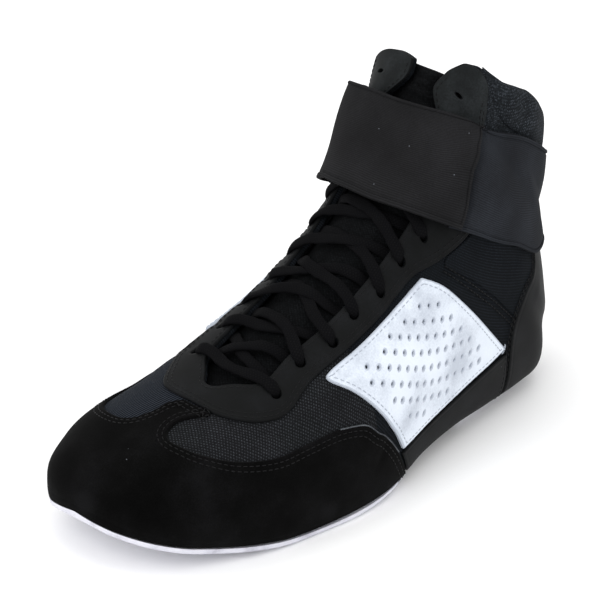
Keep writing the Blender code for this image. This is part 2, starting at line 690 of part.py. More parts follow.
def build_lace():
    """The lace's crossings as one solid: two strands that cross between the eyelets, and the first bar."""
    edge_lift = GAP + OVERLAY + LACE_CLEARANCE + LACE_RADIUS
    middle_lift = LACE_CLEARANCE + LACE_RADIUS

    def bar(start, end):
        points = []
        for n in range(LACE_STEPS + 1):
            f = n / LACE_STEPS
            v = start[1] + (end[1] - start[1]) * f
            t = start[0] + (end[0] - start[0]) * f
            lift = edge_lift + (middle_lift - edge_lift) * math.sin(math.pi * f) ** 2
            points.append(over(t, v, lift))
        return points

    strands = []
    for first in (0, 1):
        route = []
        for n, row in enumerate(EYELETS[:-1]):
            after = EYELETS[n + 1]
            outward = (n + first) % 2
            start = (row[0], row[1 + outward])
            end = (after[0], after[2 - outward])
            stretch = bar(start, end)
            route += stretch if not route else stretch[1:]
        strands.append(route)
    low = EYELETS[0]
    strands.append(bar((low[0], low[1]), (low[0], low[2])))
    made = []
    for n, route in enumerate(strands):
        bm = bmesh.new()
        tube(bm, route, LACE_RADIUS, LACE_SIDES)
        made.append(finish("lace" if n == 0 else f"lace_strand_{n}", bm, CORD))
    for extra in made[1:]:
        join = made[0].modifiers.new("join", "BOOLEAN")
        join.operation = "UNION"
        join.solver = "EXACT"
        join.object = extra
        extra.hide_render = True
        extra.display_type = "WIRE"
    return made[0]


def stand_at_origin():
    """Moves the shoe so that its box is centred over the origin, with its sole on z = 0."""
    meshes = [o for o in bpy.data.objects if o.type == "MESH"]
    solid = [o for o in meshes if not o.hide_render]
    corners = [v.co for o in solid for v in o.data.vertices]
    middle_x = (min(c.x for c in corners) + max(c.x for c in corners)) / 2
    middle_y = (min(c.y for c in corners) + max(c.y for c in corners)) / 2
    bottom = min(c.z for c in corners)
    for o in meshes:
        for v in o.data.vertices:
            v.co -= Vector((middle_x, middle_y, bottom))
    return middle_x, middle_y, bottom


upper = build_upper()
stay = build_stay()
punches = build_eyelet_cutter()
cut(upper, punches)
cut(stay, punches)
build_toe_cap()
build_side_overlays()
build_tongue()
build_collar_pad()
build_straps()
build_soles()
build_insole()
build_lace()
stand_at_origin()
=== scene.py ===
# Looks of the left wrestling shoe. The shoe's outside is one function of t, from toe tip to collar, and v, round
# a section: 0 on top of the foot, 1 at the sole's edge or heel seam on the outer side, -1 on the inner side.
# Every piece is a flat pattern in t and v that is laid on it. Lifts, widths and pitches are in millimetres.
import math

import bmesh
import bpy
import numpy as np
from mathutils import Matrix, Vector


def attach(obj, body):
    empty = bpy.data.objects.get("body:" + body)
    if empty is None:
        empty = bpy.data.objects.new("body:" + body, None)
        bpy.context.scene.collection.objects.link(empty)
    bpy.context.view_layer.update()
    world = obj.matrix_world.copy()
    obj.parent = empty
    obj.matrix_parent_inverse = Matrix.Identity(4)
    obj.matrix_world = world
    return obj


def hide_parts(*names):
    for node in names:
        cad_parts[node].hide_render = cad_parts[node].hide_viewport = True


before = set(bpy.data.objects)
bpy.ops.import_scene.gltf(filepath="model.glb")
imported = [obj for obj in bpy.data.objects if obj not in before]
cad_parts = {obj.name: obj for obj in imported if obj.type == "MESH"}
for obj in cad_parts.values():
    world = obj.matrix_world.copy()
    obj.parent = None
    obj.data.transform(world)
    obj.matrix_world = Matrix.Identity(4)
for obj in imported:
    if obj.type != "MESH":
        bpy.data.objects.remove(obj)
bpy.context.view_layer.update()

mm = 0.001

last = {
    "length": 0.280,
    "ballWidth": 0.100,
    "collarHeight": 0.140,
    "toRow": (-0.001193, 0.001871, 0.0),
    "heelSeam": 14.0,
    "top": 21.0,
}
# shares of length, collar height and ball width: low y, z, high y, z, outer and inner half width, the same at the
# foot's edge, height of the widest place, how square it is above and below
lastSections = np.array((
    (0.008, 0.160, 0.008, 0.170, 0.000, 0.000, 0.000, 0.000, 0.40, 2.0, 2.0),
    (0.012, 0.147, 0.014, 0.221, 0.125, 0.115, 0.110, 0.100, 0.42, 2.2, 2.2),
    (0.025, 0.129, 0.029, 0.261, 0.225, 0.215, 0.210, 0.200, 0.38, 2.3, 2.2),
    (0.055, 0.103, 0.058, 0.300, 0.325, 0.315, 0.308, 0.295, 0.34, 2.3, 2.2),
    (0.103, 0.074, 0.108, 0.346, 0.408, 0.395, 0.388, 0.370, 0.32, 2.3, 2.2),
    (0.176, 0.044, 0.181, 0.390, 0.475, 0.455, 0.455, 0.430, 0.30, 2.2, 2.2),
    (0.265, 0.0228, 0.270, 0.440, 0.512, 0.480, 0.492, 0.455, 0.28, 2.2, 2.2),
    (0.360, 0.0228, 0.362, 0.515, 0.520, 0.470, 0.504, 0.430, 0.28, 2.2, 2.2),
    (0.450, 0.036, 0.450, 0.605, 0.503, 0.440, 0.478, 0.375, 0.30, 2.2, 2.2),
    (0.550, 0.054, 0.520, 0.695, 0.455, 0.420, 0.390, 0.325, 0.33, 2.2, 2.2),
    (0.650, 0.060, 0.573, 0.780, 0.425, 0.410, 0.332, 0.292, 0.38, 2.3, 2.2),
    (0.750, 0.052, 0.612, 0.860, 0.403, 0.405, 0.296, 0.275, 0.43, 2.5, 2.2),
    (0.840, 0.045, 0.636, 0.935, 0.392, 0.397, 0.264, 0.258, 0.48, 2.7, 2.1),
    (0.908, 0.045, 0.653, 1.005, 0.400, 0.398, 0.205, 0.200, 0.52, 2.8, 2.0),
    (0.959, 0.068, 0.666, 1.065, 0.382, 0.390, 0.000, 0.000, 0.54, 2.9, 1.85),
    (0.979, 0.180, 0.677, 1.115, 0.351, 0.376, 0.000, 0.000, 0.54, 2.9, 1.55),
    (0.954, 0.320, 0.686, 1.155, 0.342, 0.368, 0.000, 0.000, 0.54, 2.9, 1.5),
    (0.926, 0.480, 0.694, 1.195, 0.338, 0.364, 0.000, 0.000, 0.54, 2.9, 1.6),
    (0.926, 0.640, 0.701, 1.235, 0.341, 0.362, 0.000, 0.000, 0.53, 2.9, 1.85),
    (0.929, 0.800, 0.707, 1.280, 0.341, 0.363, 0.000, 0.000, 0.52, 2.9, 1.9),
    (0.937, 0.950, 0.712, 1.325, 0.348, 0.366, 0.000, 0.000, 0.52, 2.9, 1.9),
    (0.944, 1.100, 0.717, 1.375, 0.354, 0.371, 0.000, 0.000, 0.52, 2.9, 1.9),
))
middleLine = np.array(((0.0, -0.10), (0.10, -0.065), (0.25, -0.02), (0.45, 0.02), (0.65, 0.02), (1.0, 0.0)))
feather = 0.985

# throat and stay: t, then v of the outer edge and the throat's edge on the outer and inner side
stayRows = (
    (5.85, 0.400, 0.130, -0.030, -0.270), (6.20, 0.410, 0.225, -0.115, -0.310),
    (6.80, 0.350, 0.200, -0.145, -0.300), (7.50, 0.335, 0.200, -0.160, -0.300),
    (8.50, 0.325, 0.195, -0.170, -0.300), (9.50, 0.305, 0.185, -0.170, -0.290),
    (10.50, 0.330, 0.170, -0.160, -0.310), (12.00, 0.330, 0.140, -0.135, -0.310),
    (14.00, 0.285, 0.090, -0.060, -0.255), (15.50, 0.235, 0.068, -0.015, -0.205),
    (16.80, 0.256, 0.100, -0.010, -0.182),
)
stayToe = ((5.45, -0.200), (5.25, -0.110), (5.20, 0.060), (5.25, 0.230), (5.50, 0.340))
throatToe = ((5.68, 0.015), (5.64, 0.050), (5.68, 0.085))
outerEar = ((17.50, 0.128), (18.02, 0.158), (18.26, 0.190), (18.30, 0.228), (17.90, 0.258))
innerEar = ((17.00, -0.018), (17.22, -0.055), (17.27, -0.095), (17.20, -0.135), (17.00, -0.168))
# the collar's top: v, and t on the outer and the inner side
collarRows = (
    (0.225, 18.46, 17.25), (0.280, 18.50, 17.55), (0.350, 18.64, 18.00), (0.440, 19.00, 18.60), (0.520, 19.26, 18.98),
    (0.620, 19.36, 19.24), (0.780, 19.38, 19.36), (1.000, 19.40, 19.40),
)
eyeletRows = (
    (6.22, 0.310, -0.200), (6.85, 0.258, -0.215), (7.45, 0.276, -0.242), (8.03, 0.248, -0.222),
    (8.72, 0.262, -0.242), (9.52, 0.238, -0.225), (10.36, 0.236, -0.228), (11.30, 0.208, -0.205),
)
earHoles = ((16.07, 0.142, 1.7), (15.65, -0.105, 1.7))
eyeletRadius = 2.1


# Operators act on what is selected, and the loaded frame is selected
def deselectAll():
    for thing in bpy.context.selected_objects:
        thing.select_set(False)


def makeActive(piece):
    deselectAll()
    piece.select_set(True)
    bpy.context.view_layer.objects.active = piece


def smoothShade(piece, angle=40):
    makeActive(piece)
    bpy.ops.object.shade_smooth_by_angle(angle=math.radians(angle))


deselectAll()
print("stage: frame loaded")


# One place between b and c on a smooth curve, with a before and d after them
def between(a, b, c, d, f):
    return b + 0.5 * f * (c - a + f * (2 * a - 5 * b + 4 * c - d + f * (3 * (b - c) + d - a)))


def unit(lines):
    return lines / np.linalg.norm(lines, axis=-1, keepdims=True).clip(1e-12)


# The distance run up to each point
def runAlong(points):
    return np.concatenate([[0], np.cumsum(np.linalg.norm(np.diff(points, axis=0), axis=1))])


def curveThrough(rows, t):
    n = np.clip(t.astype(int), 0, len(rows) - 2)
    before, after = np.maximum(n - 1, 0), np.minimum(n + 2, len(rows) - 1)
    return between(rows[before], rows[n], rows[n + 1], rows[after], (t - n)[:, None])


def middleAt(share):
    s = np.clip(share, 0, 1)
    n = np.clip(np.searchsorted(middleLine[:, 0], s, side="left") - 1, 0, len(middleLine) - 2)
    f = (s - middleLine[n, 0]) / (middleLine[n + 1, 0] - middleLine[n, 0])
    low = middleLine[n, 1]
    return (low + (middleLine[n + 1, 1] - low) * f * f * (3 - 2 * f)) * last["ballWidth"]


tFine = np.linspace(0, last["top"], 841)
vFine = np.linspace(-1, 1, 241)


# The last as a fine table of points, and half its girth at each t
def buildLast():
    table = np.zeros((len(tFine), len(vFine), 3))
    girth = np.zeros((len(tFine), 2))
    angle = np.linspace(0, math.pi / 2, 41)
    below = angle[1:]
    for i, row in enumerate(curveThrough(lastSections, tFine)):
        lowY, lowZ, highY, highZ, outer, inner, outerFoot, innerFoot, widest, up, down = row
        for side, width, foot in ((1, outer, outerFoot), (-1, inner, innerFoot)):
            width = max(width, 0) * last["ballWidth"]
            foot = min(max(foot, 0) * last["ballWidth"], width)
            x = np.concatenate([
                width * np.sin(angle) ** (2 / up), foot + (width - foot) * np.cos(below).clip(0) ** (2 / down),
            ])
            share = np.concatenate([
                widest + (1 - widest) * np.cos(angle).clip(0) ** (2 / up), widest * (1 - np.sin(below) ** (2 / down)),
            ])
            y = lowY + (highY - lowY) * share
            z = lowZ + (highZ - lowZ) * share
            points = np.stack([
                middleAt(y) + side * x, (y - 0.5) * last["length"], z * last["collarHeight"],
            ], axis=1)
            run = runAlong(points)
            half = vFine >= 0 if side > 0 else vFine <= 0
            for axis in range(3):
                table[i, half, axis] = np.interp(np.abs(vFine[half]) * run[-1], run, points[:, axis])
            girth[i, (side + 1) // 2] = run[-1]
    return table + np.array(last["toRow"]), girth.mean(axis=1) / mm


lastTable, halfGirth = buildLast()
alongV = np.gradient(lastTable, axis=1)
alongV[:, (0, -1)] = (-1, 0, 0)
outTable = np.cross(alongV, np.gradient(lastTable, axis=0))       # straight out of the last
outTable[0] = (0, -1, 0)
outTable = unit(outTable)
runT = runAlong(lastTable[:, 180]) / mm                           # distance from the toe along the outer side


def wrapV(v):
    v = np.where(v > 1, v - 2, v)
    return np.where(v < -1, v + 2, v)


def fromTable(table, t, v):
    i = np.clip(t / last["top"] * (len(tFine) - 1), 0, len(tFine) - 1.001)
    j = np.clip((wrapV(v) + 1) / 2 * (len(vFine) - 1), 0, len(vFine) - 1.001)
    n = i.astype(int)
    m = j.astype(int)
    a = (i - n)[..., None]
    b = (j - m)[..., None]
    near = table[n, m] * (1 - b) + table[n, m + 1] * b
    far = table[n + 1, m] * (1 - b) + table[n + 1, m + 1] * b
    return near * (1 - a) + far * a


# Flat pattern space in millimetres: distance from the toe, and width from a middle line at v = vMid
def flatten(t, v, vMid=0.0):
    t = np.asarray(t, float)
    wide = (np.asarray(v, float) - vMid) * np.interp(t, tFine, halfGirth)
    return np.stack([np.interp(t, tFine, runT), wide], axis=-1)


def unflatten(flat, vMid=0.0):
    t = np.interp(flat[..., 0], runT, tFine)
    return t, flat[..., 1] / np.interp(t, tFine, halfGirth).clip(0.5) + vMid


# Main creases: t and v of both ends, half width and height, a trough where the height is negative
creases = (
    (5.75, 0.44, 6.55, 0.55, 2.4, -0.55), (6.25, 0.43, 7.05, 0.56, 2.6, 0.35), (6.70, 0.40, 7.35, 0.58, 2.2, -0.45),
    (4.9, 0.05, 5.15, 0.20, 2.0, -0.35), (9.3, 0.33, 9.9, 0.46, 2.6, -0.5), (10.2, 0.35, 11.3, 0.55, 3.0, -0.55),
    (10.9, 0.36, 12.2, 0.58, 3.2, 0.5), (11.6, 0.36, 13.0, 0.52, 3.0, -0.6), (8.3, 0.34, 8.9, 0.45, 2.0, -0.35),
    (12.9, 0.62, 13.8, 0.86, 4.0, -0.6), (13.6, 0.66, 14.6, 0.95, 4.2, 0.6), (6.2, -0.36, 7.2, -0.55, 2.6, -0.5),
    (8.9, -0.34, 10.0, -0.50, 3.0, -0.6), (10.6, -0.36, 12.1, -0.58, 3.2, -0.7), (11.4, -0.34, 13.0, -0.50, 3.0, 0.5),
    (12.9, -0.62, 13.9, -0.88, 4.0, -0.7), (2.2, 0.30, 3.6, 0.52, 9.0, -0.5), (2.6, -0.20, 3.8, -0.46, 9.0, -0.5),
    (7.6, 0.80, 8.2, 0.62, 3.0, -0.4), (9.0, 0.45, 10.6, 0.72, 9.0, -0.5),
)
# Pulls at the eyelets, where the laces draw the stay in
eyeletPulls = tuple((t, v, t + 0.12, v + math.copysign(0.075, v), 2.3, -0.55) for t, *pair in eyeletRows for v in pair)


def relief(t, v):
    flat = flatten(t, wrapV(v))
    height = np.zeros(flat.shape[:-1])
    for t0, v0, t1, v1, width, tall in creases + eyeletPulls:
        start = flatten(t0, v0)
        along = flatten(t1, v1) - start
        f = np.clip(((flat - start) @ along) / (along @ along), 0, 1)
        away = np.linalg.norm(flat - (start + f[..., None] * along), axis=-1)
        height += tall * np.exp(-(away / width) ** 2)
    return height


def outAt(t, v):
    return unit(fromTable(outTable, np.asarray(t, float), np.asarray(v, float)))


# Points over the last, lift in millimetres
def place(t, v, lift, creased=True):
    t, v = np.asarray(t, float), np.asarray(v, float)
    up = np.asarray(lift, float) + (relief(t, v) if creased else 0.0)
    return fromTable(lastTable, t, v) + outAt(t, v) * (up * mm)[..., None]


# A smooth line through pattern points. corners are the numbers of points that stay sharp.
def smoothLine(points, closed, corners=(), step=1.0):
    points = np.asarray(points, float)
    flat = flatten(*points.T)
    count = len(points)
    result = []
    for n in range(count if closed else count - 1):
        after = (n + 1) % count
        before = n - 1 if (closed or n > 0) and n not in corners else n
        beyond = (n + 2) % count if (closed or n + 2 < count) and after not in corners else after
        pieces = max(2, int(np.linalg.norm(flat[after] - flat[n]) / step))
        result += [between(*points[[before, n, after, beyond]], k / pieces) for k in range(pieces)]
    return np.array(result if closed else result + [points[-1]])


# Straight runs in t and v get points of their own, since they bend in the flat pattern
def denseLine(outline):
    outline = np.asarray(outline, float)
    result = []
    for a, b in zip(outline, np.roll(outline, -1, axis=0)):
        pieces = max(1, int(abs(b[0] - a[0]) / 0.12), int(abs(b[1] - a[1]) / 0.05) if a[0] + b[0] > 0 else 1)
        result += [a + (b - a) * k / pieces for k in range(pieces)]
    return np.array(result)


# 1 where a closed line runs round to the left, -1 where it runs to the right
def turning(line):
    x, y = np.roll(line, -1, axis=0).T
    return 1 if np.sum(line[:, 0] * y - x * line[:, 1]) > 0 else -1


# Distance of flat points to a closed line and to holes in it, positive inside, the nearest edge, and the way inward
def outlineDistance(points, line, holes=()):
    best = np.full(len(points), 1e9)
    near = points.copy()
    inward = np.zeros_like(points)
    inside = np.zeros(len(points), bool)
    turn = turning(line)
    for a, b in zip(line, np.roll(line, -1, axis=0)):
        along = b - a
        size = along @ along
        if size < 1e-12:
            continue
        f = np.clip(((points - a) @ along) / size, 0, 1)
        q = a + f[:, None] * along
        away = np.linalg.norm(points - q, axis=1)
        closer = away < best
        best[closer] = away[closer]
        near[closer] = q[closer]
        inward[closer] = np.array((-along[1], along[0])) * turn / math.sqrt(size)
        if a[1] != b[1]:
            cross = (a[1] > points[:, 1]) != (b[1] > points[:, 1])
            inside ^= cross & (points[:, 0] < a[0] + (points[:, 1] - a[1]) / (b[1] - a[1]) * (b[0] - a[0]))
    best = np.where(inside, best, -best)
    for centre, radius in holes:
        offset = points - centre
        away = np.linalg.norm(offset, axis=1)
        past = away - radius
        closer = past < best
        best[closer] = past[closer]
        unit = offset[closer] / away[closer][:, None].clip(1e-9)
        near[closer] = centre + unit * radius
        inward[closer] = unit
    return best, near, inward


def deleteFaces(piece, drop):
    makeActive(piece)
    bpy.ops.object.mode_set(mode="EDIT")
    bpy.ops.mesh.select_mode(type="FACE")
    bpy.ops.mesh.select_all(action="DESELECT")
    bpy.ops.object.mode_set(mode="OBJECT")
    piece.data.polygons.foreach_set("select", drop)
    bpy.ops.object.mode_set(mode="EDIT")
    bpy.ops.mesh.delete(type="FACE")
    bpy.ops.object.mode_set(mode="OBJECT")

def readMesh(items, name, size, kind=float):
    values = np.empty(len(items) * size, kind)
    items.foreach_get(name, values)
    return values.reshape(-1, size)


# A piece from points and faces. A panel gives its faces' materials and each point's distance inside the cut edge.
def meshPiece(name, points, faces, looksUsed, uv, replaced=None, slot=None, angle=50, kinds=None, inside=None):
    mesh = bpy.data.meshes.new(name)
    mesh.from_pydata(points.tolist(), [], faces)
    if uv is not None:
        loops = readMesh(mesh.loops, "vertex_index", 1, int)[:, 0]
        mesh.uv_layers.new(name="cloth").data.foreach_set("uv", uv[loops].ravel().astype(np.float32))
    for look in looksUsed:
        mesh.materials.append(cloths[look])
    if kinds:
        mesh.polygons.foreach_set("material_index", kinds)
        mesh.attributes.new("edge", "FLOAT", "POINT").data.foreach_set("value", inside.astype(np.float32))
    piece = bpy.data.objects.new(name, mesh)
    bpy.context.scene.collection.objects.link(piece)
    makeActive(piece)
    bpy.ops.object.mode_set(mode="EDIT")
    bpy.ops.mesh.select_all(action="SELECT")
    bpy.ops.mesh.remove_doubles(threshold=1e-6)
    if kinds:
        bpy.ops.mesh.delete_loose()
    else:
        bpy.ops.mesh.normals_make_consistent(inside=False)
    bpy.ops.object.mode_set(mode="OBJECT")
    smoothShade(piece, angle)
    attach(piece, "root")
    if replaced:
        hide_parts(replaced)
    return piece


# A panel cut to a pattern: a grid is trimmed to the outline, laid on the last, and given its thickness and a soft
# cut edge. closedOver says that edges at the toe's pole and on the heel seam meet and get no wall.
def clothPanel(name, outline, settings, looksUsed, replaced=None, slot=None, holes=(), sharp=(), vMid=0.0,
               closedOver=False, pick=None):
    cell, low, high, soft = (settings[key] for key in ("cell", "low", "high", "edge"))
    outline = denseLine(outline)
    line = flatten(*outline.T, vMid)
    discs = [(flatten(t, v, vMid), radius) for t, v, radius in holes]
    lowS, highS = line[:, 0].min(), line[:, 0].max()
    lowV, highV = outline[:, 1].min(), outline[:, 1].max()
    wide = np.interp(outline[:, 0], tFine, halfGirth).max()
    deselectAll()
    bpy.ops.mesh.primitive_grid_add(
        x_subdivisions=max(2, int((highS - lowS) / cell)), y_subdivisions=max(2, int((highV - lowV) * wide / cell)),
        size=1,
    )
    cloth = bpy.context.object
    grid = readMesh(cloth.data.vertices, "co", 3)
    t = np.interp(lowS + (grid[:, 0] + 0.5) * (highS - lowS), runT, tFine)
    flat = flatten(t, lowV + (grid[:, 1] + 0.5) * (highV - lowV), vMid)
    away = outlineDistance(flat, line, discs)[0]
    corners = readMesh(cloth.data.polygons, "vertices", 4, int)
    cloth.data.vertices.foreach_set("co", np.column_stack([flat, np.zeros(len(flat))]).ravel())
    deleteFaces(cloth, away[corners].mean(axis=1) <= 0)

    bm = bmesh.new()
    bm.from_mesh(cloth.data)
    bpy.data.meshes.remove(cloth.data)
    bm.verts.ensure_lookup_table()
    flat = np.array([v.co.xy[:] for v in bm.verts])
    away, near, inward = outlineDistance(flat, line, discs)
    rim = np.array([v.is_boundary for v in bm.verts])
    snapped = rim & (np.abs(away) < 1.6 * cell)
    flat[snapped] = near[snapped]
    rims = np.flatnonzero(rim)
    for corner in sharp:
        corner = flatten(*corner, vMid)
        flat[rims[np.argmin(np.linalg.norm(flat[rims] - corner, axis=1))]] = corner
    for n in list(np.flatnonzero(~rim & (away < 2.5 * cell))) * 3:
        flat[n] = np.mean([flat[e.other_vert(bm.verts[n]).index] for e in bm.verts[n].link_edges], axis=0)
    tAll, vAll = unflatten(flat, vMid)
    if closedOver:
        vAll = np.where(np.abs(np.abs(vAll) - 1) < 2e-3, np.sign(vAll), vAll)
    heel = (np.abs(np.abs(vAll) - 1) < 1e-6) & (tAll >= last["heelSeam"] - 0.02)
    seam = rim & closedOver & ((tAll < 0.02) | heel)
    faces = [[v.index for v in f.verts] for f in bm.faces]
    edges = [[v.index for v in e.verts] for e in bm.edges if e.is_boundary]
    bm.free()

    # the face, a quarter turn of the cut edge in two rings, and the underside
    def ringAt(share):
        return unflatten(np.where((rim & ~seam)[:, None], flat + inward * soft * share, flat), vMid)

    tTop, vTop = ringAt(1)
    vTop = np.where(seam, vAll, vTop)
    drop = min(soft, 0.8 * (high - low))
    levels = (
        (tTop, vTop, high), (*ringAt(0.71), high - drop * 0.293), (*ringAt(0), high - drop), (tAll, vAll, low),
    )
    points = np.concatenate([place(*level) for level in levels])
    count = len(flat)
    first, second, third = points[faces[0][:3]]
    if np.cross(second - first, third - first) @ outAt(tAll[faces[0][0]], vAll[faces[0][0]]) < 0:
        faces = [f[::-1] for f in faces]
    ordered = {pair for f in faces for pair in zip(f, f[1:] + f[:1])}
    kinds = [int(pick(np.mean(tTop[f]), np.mean(vTop[f]))) if pick else 0 for f in faces]
    kinds += [min(1, len(looksUsed) - 1)] * len(faces)
    faces += [[n + 3 * count for n in f[::-1]] for f in faces]
    for a, b in edges:
        if seam[a] and seam[b]:
            continue
        if (a, b) not in ordered:
            a, b = b, a
        faces += [[b + up, a + up, a + up + count, b + up + count] for up in (0, count, 2 * count)]
        kinds += [0, 0, 0]
    inside = np.where(rim, 0.0, np.maximum(away, 0.0))
    return meshPiece(name, points, faces, looksUsed, np.tile(flat, (4, 1)), replaced, slot, 50, kinds,
                     np.tile(inside, 4))


# A closed slab between two grids of points
def slab(top, low):
    grid = np.arange(top.shape[0] * top.shape[1]).reshape(top.shape[:2])
    upper = np.stack([grid[:-1, :-1], grid[1:, :-1], grid[1:, 1:], grid[:-1, 1:]], axis=-1).reshape(-1, 4)
    rim = np.concatenate([grid[:, 0], grid[-1, 1:], grid[-2::-1, -1], grid[0, -2:0:-1]])
    onward = np.roll(rim, -1)
    wall = np.stack([rim, onward, onward + grid.size, rim + grid.size], axis=1)
    faces = np.concatenate([upper, upper[:, (0, 3, 2, 1)] + grid.size, wall]).tolist()
    return np.concatenate([top.reshape(-1, 3), low.reshape(-1, 3)]), faces


# The faces of a tube of rings, and of its two ends
def ringFaces(rows, cols):
    faces = [[n * cols + k, n * cols + (k + 1) % cols, (n + 1) * cols + (k + 1) % cols, (n + 1) * cols + k]
             for n in range(rows - 1) for k in range(cols)]
    return faces + [list(range(cols))[::-1], [(rows - 1) * cols + k for k in range(cols)]]


# Colours are given as sRGB hex
def colour(text):
    parts = [int(text[n:n + 2], 16) / 255 for n in (1, 3, 5)]
    return tuple(c / 12.92 if c <= 0.04045 else ((c + 0.055) / 1.055) ** 2.4 for c in parts) + (1.0,)


# Adds a node with its settings and links. A link starts at a node's first output, or at the output given.
def addNode(tree, kind, values=None, links=None, **settings):
    node = tree.nodes.new("ShaderNode" + kind)
    for name, value in settings.items():
        setattr(node, name, value)
    for name, value in (values or {}).items():
        node.inputs[name].default_value = value
    for name, source in (links or {}).items():
        tree.links.new(source.outputs[0] if hasattr(source, "outputs") else source, node.inputs[name])
    return node


# Each cloth: three colours from dark to light, the shares of its tone that come from the weave, the grain and broad
# blotches, the size of the grain and the blotches, roughness, specular, and the strength and depth of its relief. All
# sizes are in millimetres. "weave" is the pitch and the turns of its threads, "stitch" how far in the seam pulls it
# down, "lint" the space between pale specks of dust, "rub" the width of the grey along the pressed cut edge.
looks = {
    # warp knit with small open cells, so rows of slightly paler flecks show on near black
    "polyester air mesh": ("#0d0f11 #13161a #23272d", (0.34, 0.48, 0.18), 0.6, 16, 0.9, 0.05, 0.45, 0.25,
        {"weave": (1.0, 32, -32), "lint": 16}),
    # coarser knit in the outer window, paler dots in slanting rows
    "forefoot knit": ("#121314 #1d1e20 #3b3e42", (0.26, 0.58, 0.16), 0.7, 14, 0.9, 0.05, 0.5, 0.3,
        {"weave": (1.2, 38, -34), "lint": 14}),
    # fine close pleats in the inner window, which catch the light along their ridges
    "pleated nylon": ("#0b0d10 #14171c #2b3038", (0.72, 0.2, 0.08), 0.8, 14, 0.8, 0.05, 0.8, 0.5,
        {"weave": (1.3, 78)}),
    # looped knit over the collar's foam: dark with fine bluish glints from its loops
    "looped collar knit": ("#131517 #1d2023 #494e55", (0.12, 0.72, 0.16), 0.9, 11, 0.9, 0.06, 0.6, 0.35,
        {"weave": (1.1, 40, -24), "lint": 12}),
    # the same tongue cloth worn smooth and dull by the laces, its colours darkened: painted shade for the tongue's
    # face, which lies in shade between the ears
    "tongue knit with painted shade": ("#080809 #0e0f10 #1b1c1e", (0.14, 0.64, 0.22), 0.9, 9, 0.95, 0.03, 0.6, 0.35,
        {"weave": (1.1, 40, -40), "lint": 12}),
    # brushed loop cloth over foam, dull and slightly blue, with a short pile
    "brushed tricot lining": ("#0b0d11 #12151b #242933", (0.3, 0.5, 0.2), 0.8, 12, 0.95, 0.04, 0.4, 0.25,
        {"weave": (0.9, 30, -30), "sheen": 0.06, "lint": 11}),
    # split leather with a short nap: almost no gloss, a few places paler, some from rubbed wear and some painted
    # highlight, lint caught in it
    "black cow suede": ("#040404 #080808 #121213", (0.0, 0.45, 0.55), 0.55, 19, 1.0, 0.02, 0.35, 0.3,
        {"sheen": 0.02, "lint": 9, "stitch": 1.9,
         "worn": ((0.62, 0.5, 7, 0.2), (6.45, 0.915, 6, 0.22), (5.1, 0.8, 9, 0.1), (1.6, -0.05, 11, 0.1))}),
    # polyurethane face with a fine grain and a low even gloss that shows the wrinkles
    "coated microfibre": ("#0a0b0b #0e0f10 #17181a", (0.0, 0.45, 0.55), 0.8, 13, 0.6, 0.075, 0.3, 0.22,
        {"lint": 17, "stitch": 1.7}),
    # the same face, paler and a little glossier on the ears: the paleness is painted highlight where they catch the
    # light
    "paler microfibre with painted highlight": ("#101213 #171a1b #25282a", (0.0, 0.45, 0.55), 0.8, 9, 0.6, 0.1, 0.35, 0.25,
        {"lint": 14, "stitch": 1.7}),
    # the same face dyed white, faintly blue, grey where its cut edge is pressed and handled
    "white coated microfibre": ("#b4bbc6 #d3dae4 #dde4ec", (0.0, 0.25, 0.75), 0.9, 24, 0.5, 0.3, 0.2, 0.2,
        {"stitch": 2.0, "rub": 0.9}),
    # rubber warp under a flat nylon face: fine ribs run along it, matte, with lint
    "woven elastic, front": ("#161617 #1c1c1d #252527", (0.2, 0.4, 0.4), 0.7, 22, 0.9, 0.06, 0.15, 0.14,
        {"weave": (0.8, 90), "lint": 7}),
    # the rear piece, a paler and slightly bluer copy: its paleness is painted highlight for the broad light on it
    "woven elastic, rear": ("#191a1d #202226 #2a2d32", (0.2, 0.4, 0.4), 0.7, 22, 0.9, 0.07, 0.15, 0.14,
        {"weave": (0.8, 90), "lint": 10}),
    # a soft round lace pressed flat, its strands crossing at about 40 degrees
    "polyester braid": ("#08080a #0c0c0d #131314", (0.3, 0.5, 0.2), 0.5, 9, 0.9, 0.05, 0.5, 0.25,
        {"weave": (0.9, 48, -48), "lint": 13}),
    # pressed gum rubber, dull, with a faint grey violet cast, its tone darker towards the bottom of its side
    "pressed white rubber": ("#b5b4bf #cfcfd9 #dadae2", (0.0, 0.2, 0.8), 1.0, 9, 0.6, 0.25, 0.12, 0.2,
        {"darkerLow": 4.0}),
    # bonded board under a black lacquer, dull and slightly uneven
    "lacquered board": ("#0a0a0b #0f0f10 #161617", (0.0, 0.4, 0.6), 1.4, 15, 0.7, 0.15, 0.2, 0.2, {}),
    # bonded nylon thread, twisted, a little glossier than what it sews
    "black nylon thread": ("#070708 #0b0b0c #141416", (0.0, 0.8, 0.2), 0.3, 9, 0.6, 0.15, 0.3, 0.05, {}),
    "grey nylon thread": ("#8d939d #a4aab4 #b9bfc8", (0.0, 0.8, 0.2), 0.3, 9, 0.6, 0.2, 0.3, 0.05, {}),
    # woven tape rolled over a cord, worn grey
    "grey piping tape": ("#2b2d30 #494c50 #6b6e72", (0.0, 0.6, 0.4), 0.5, 5, 0.8, 0.1, 0.4, 0.1, {}),
}


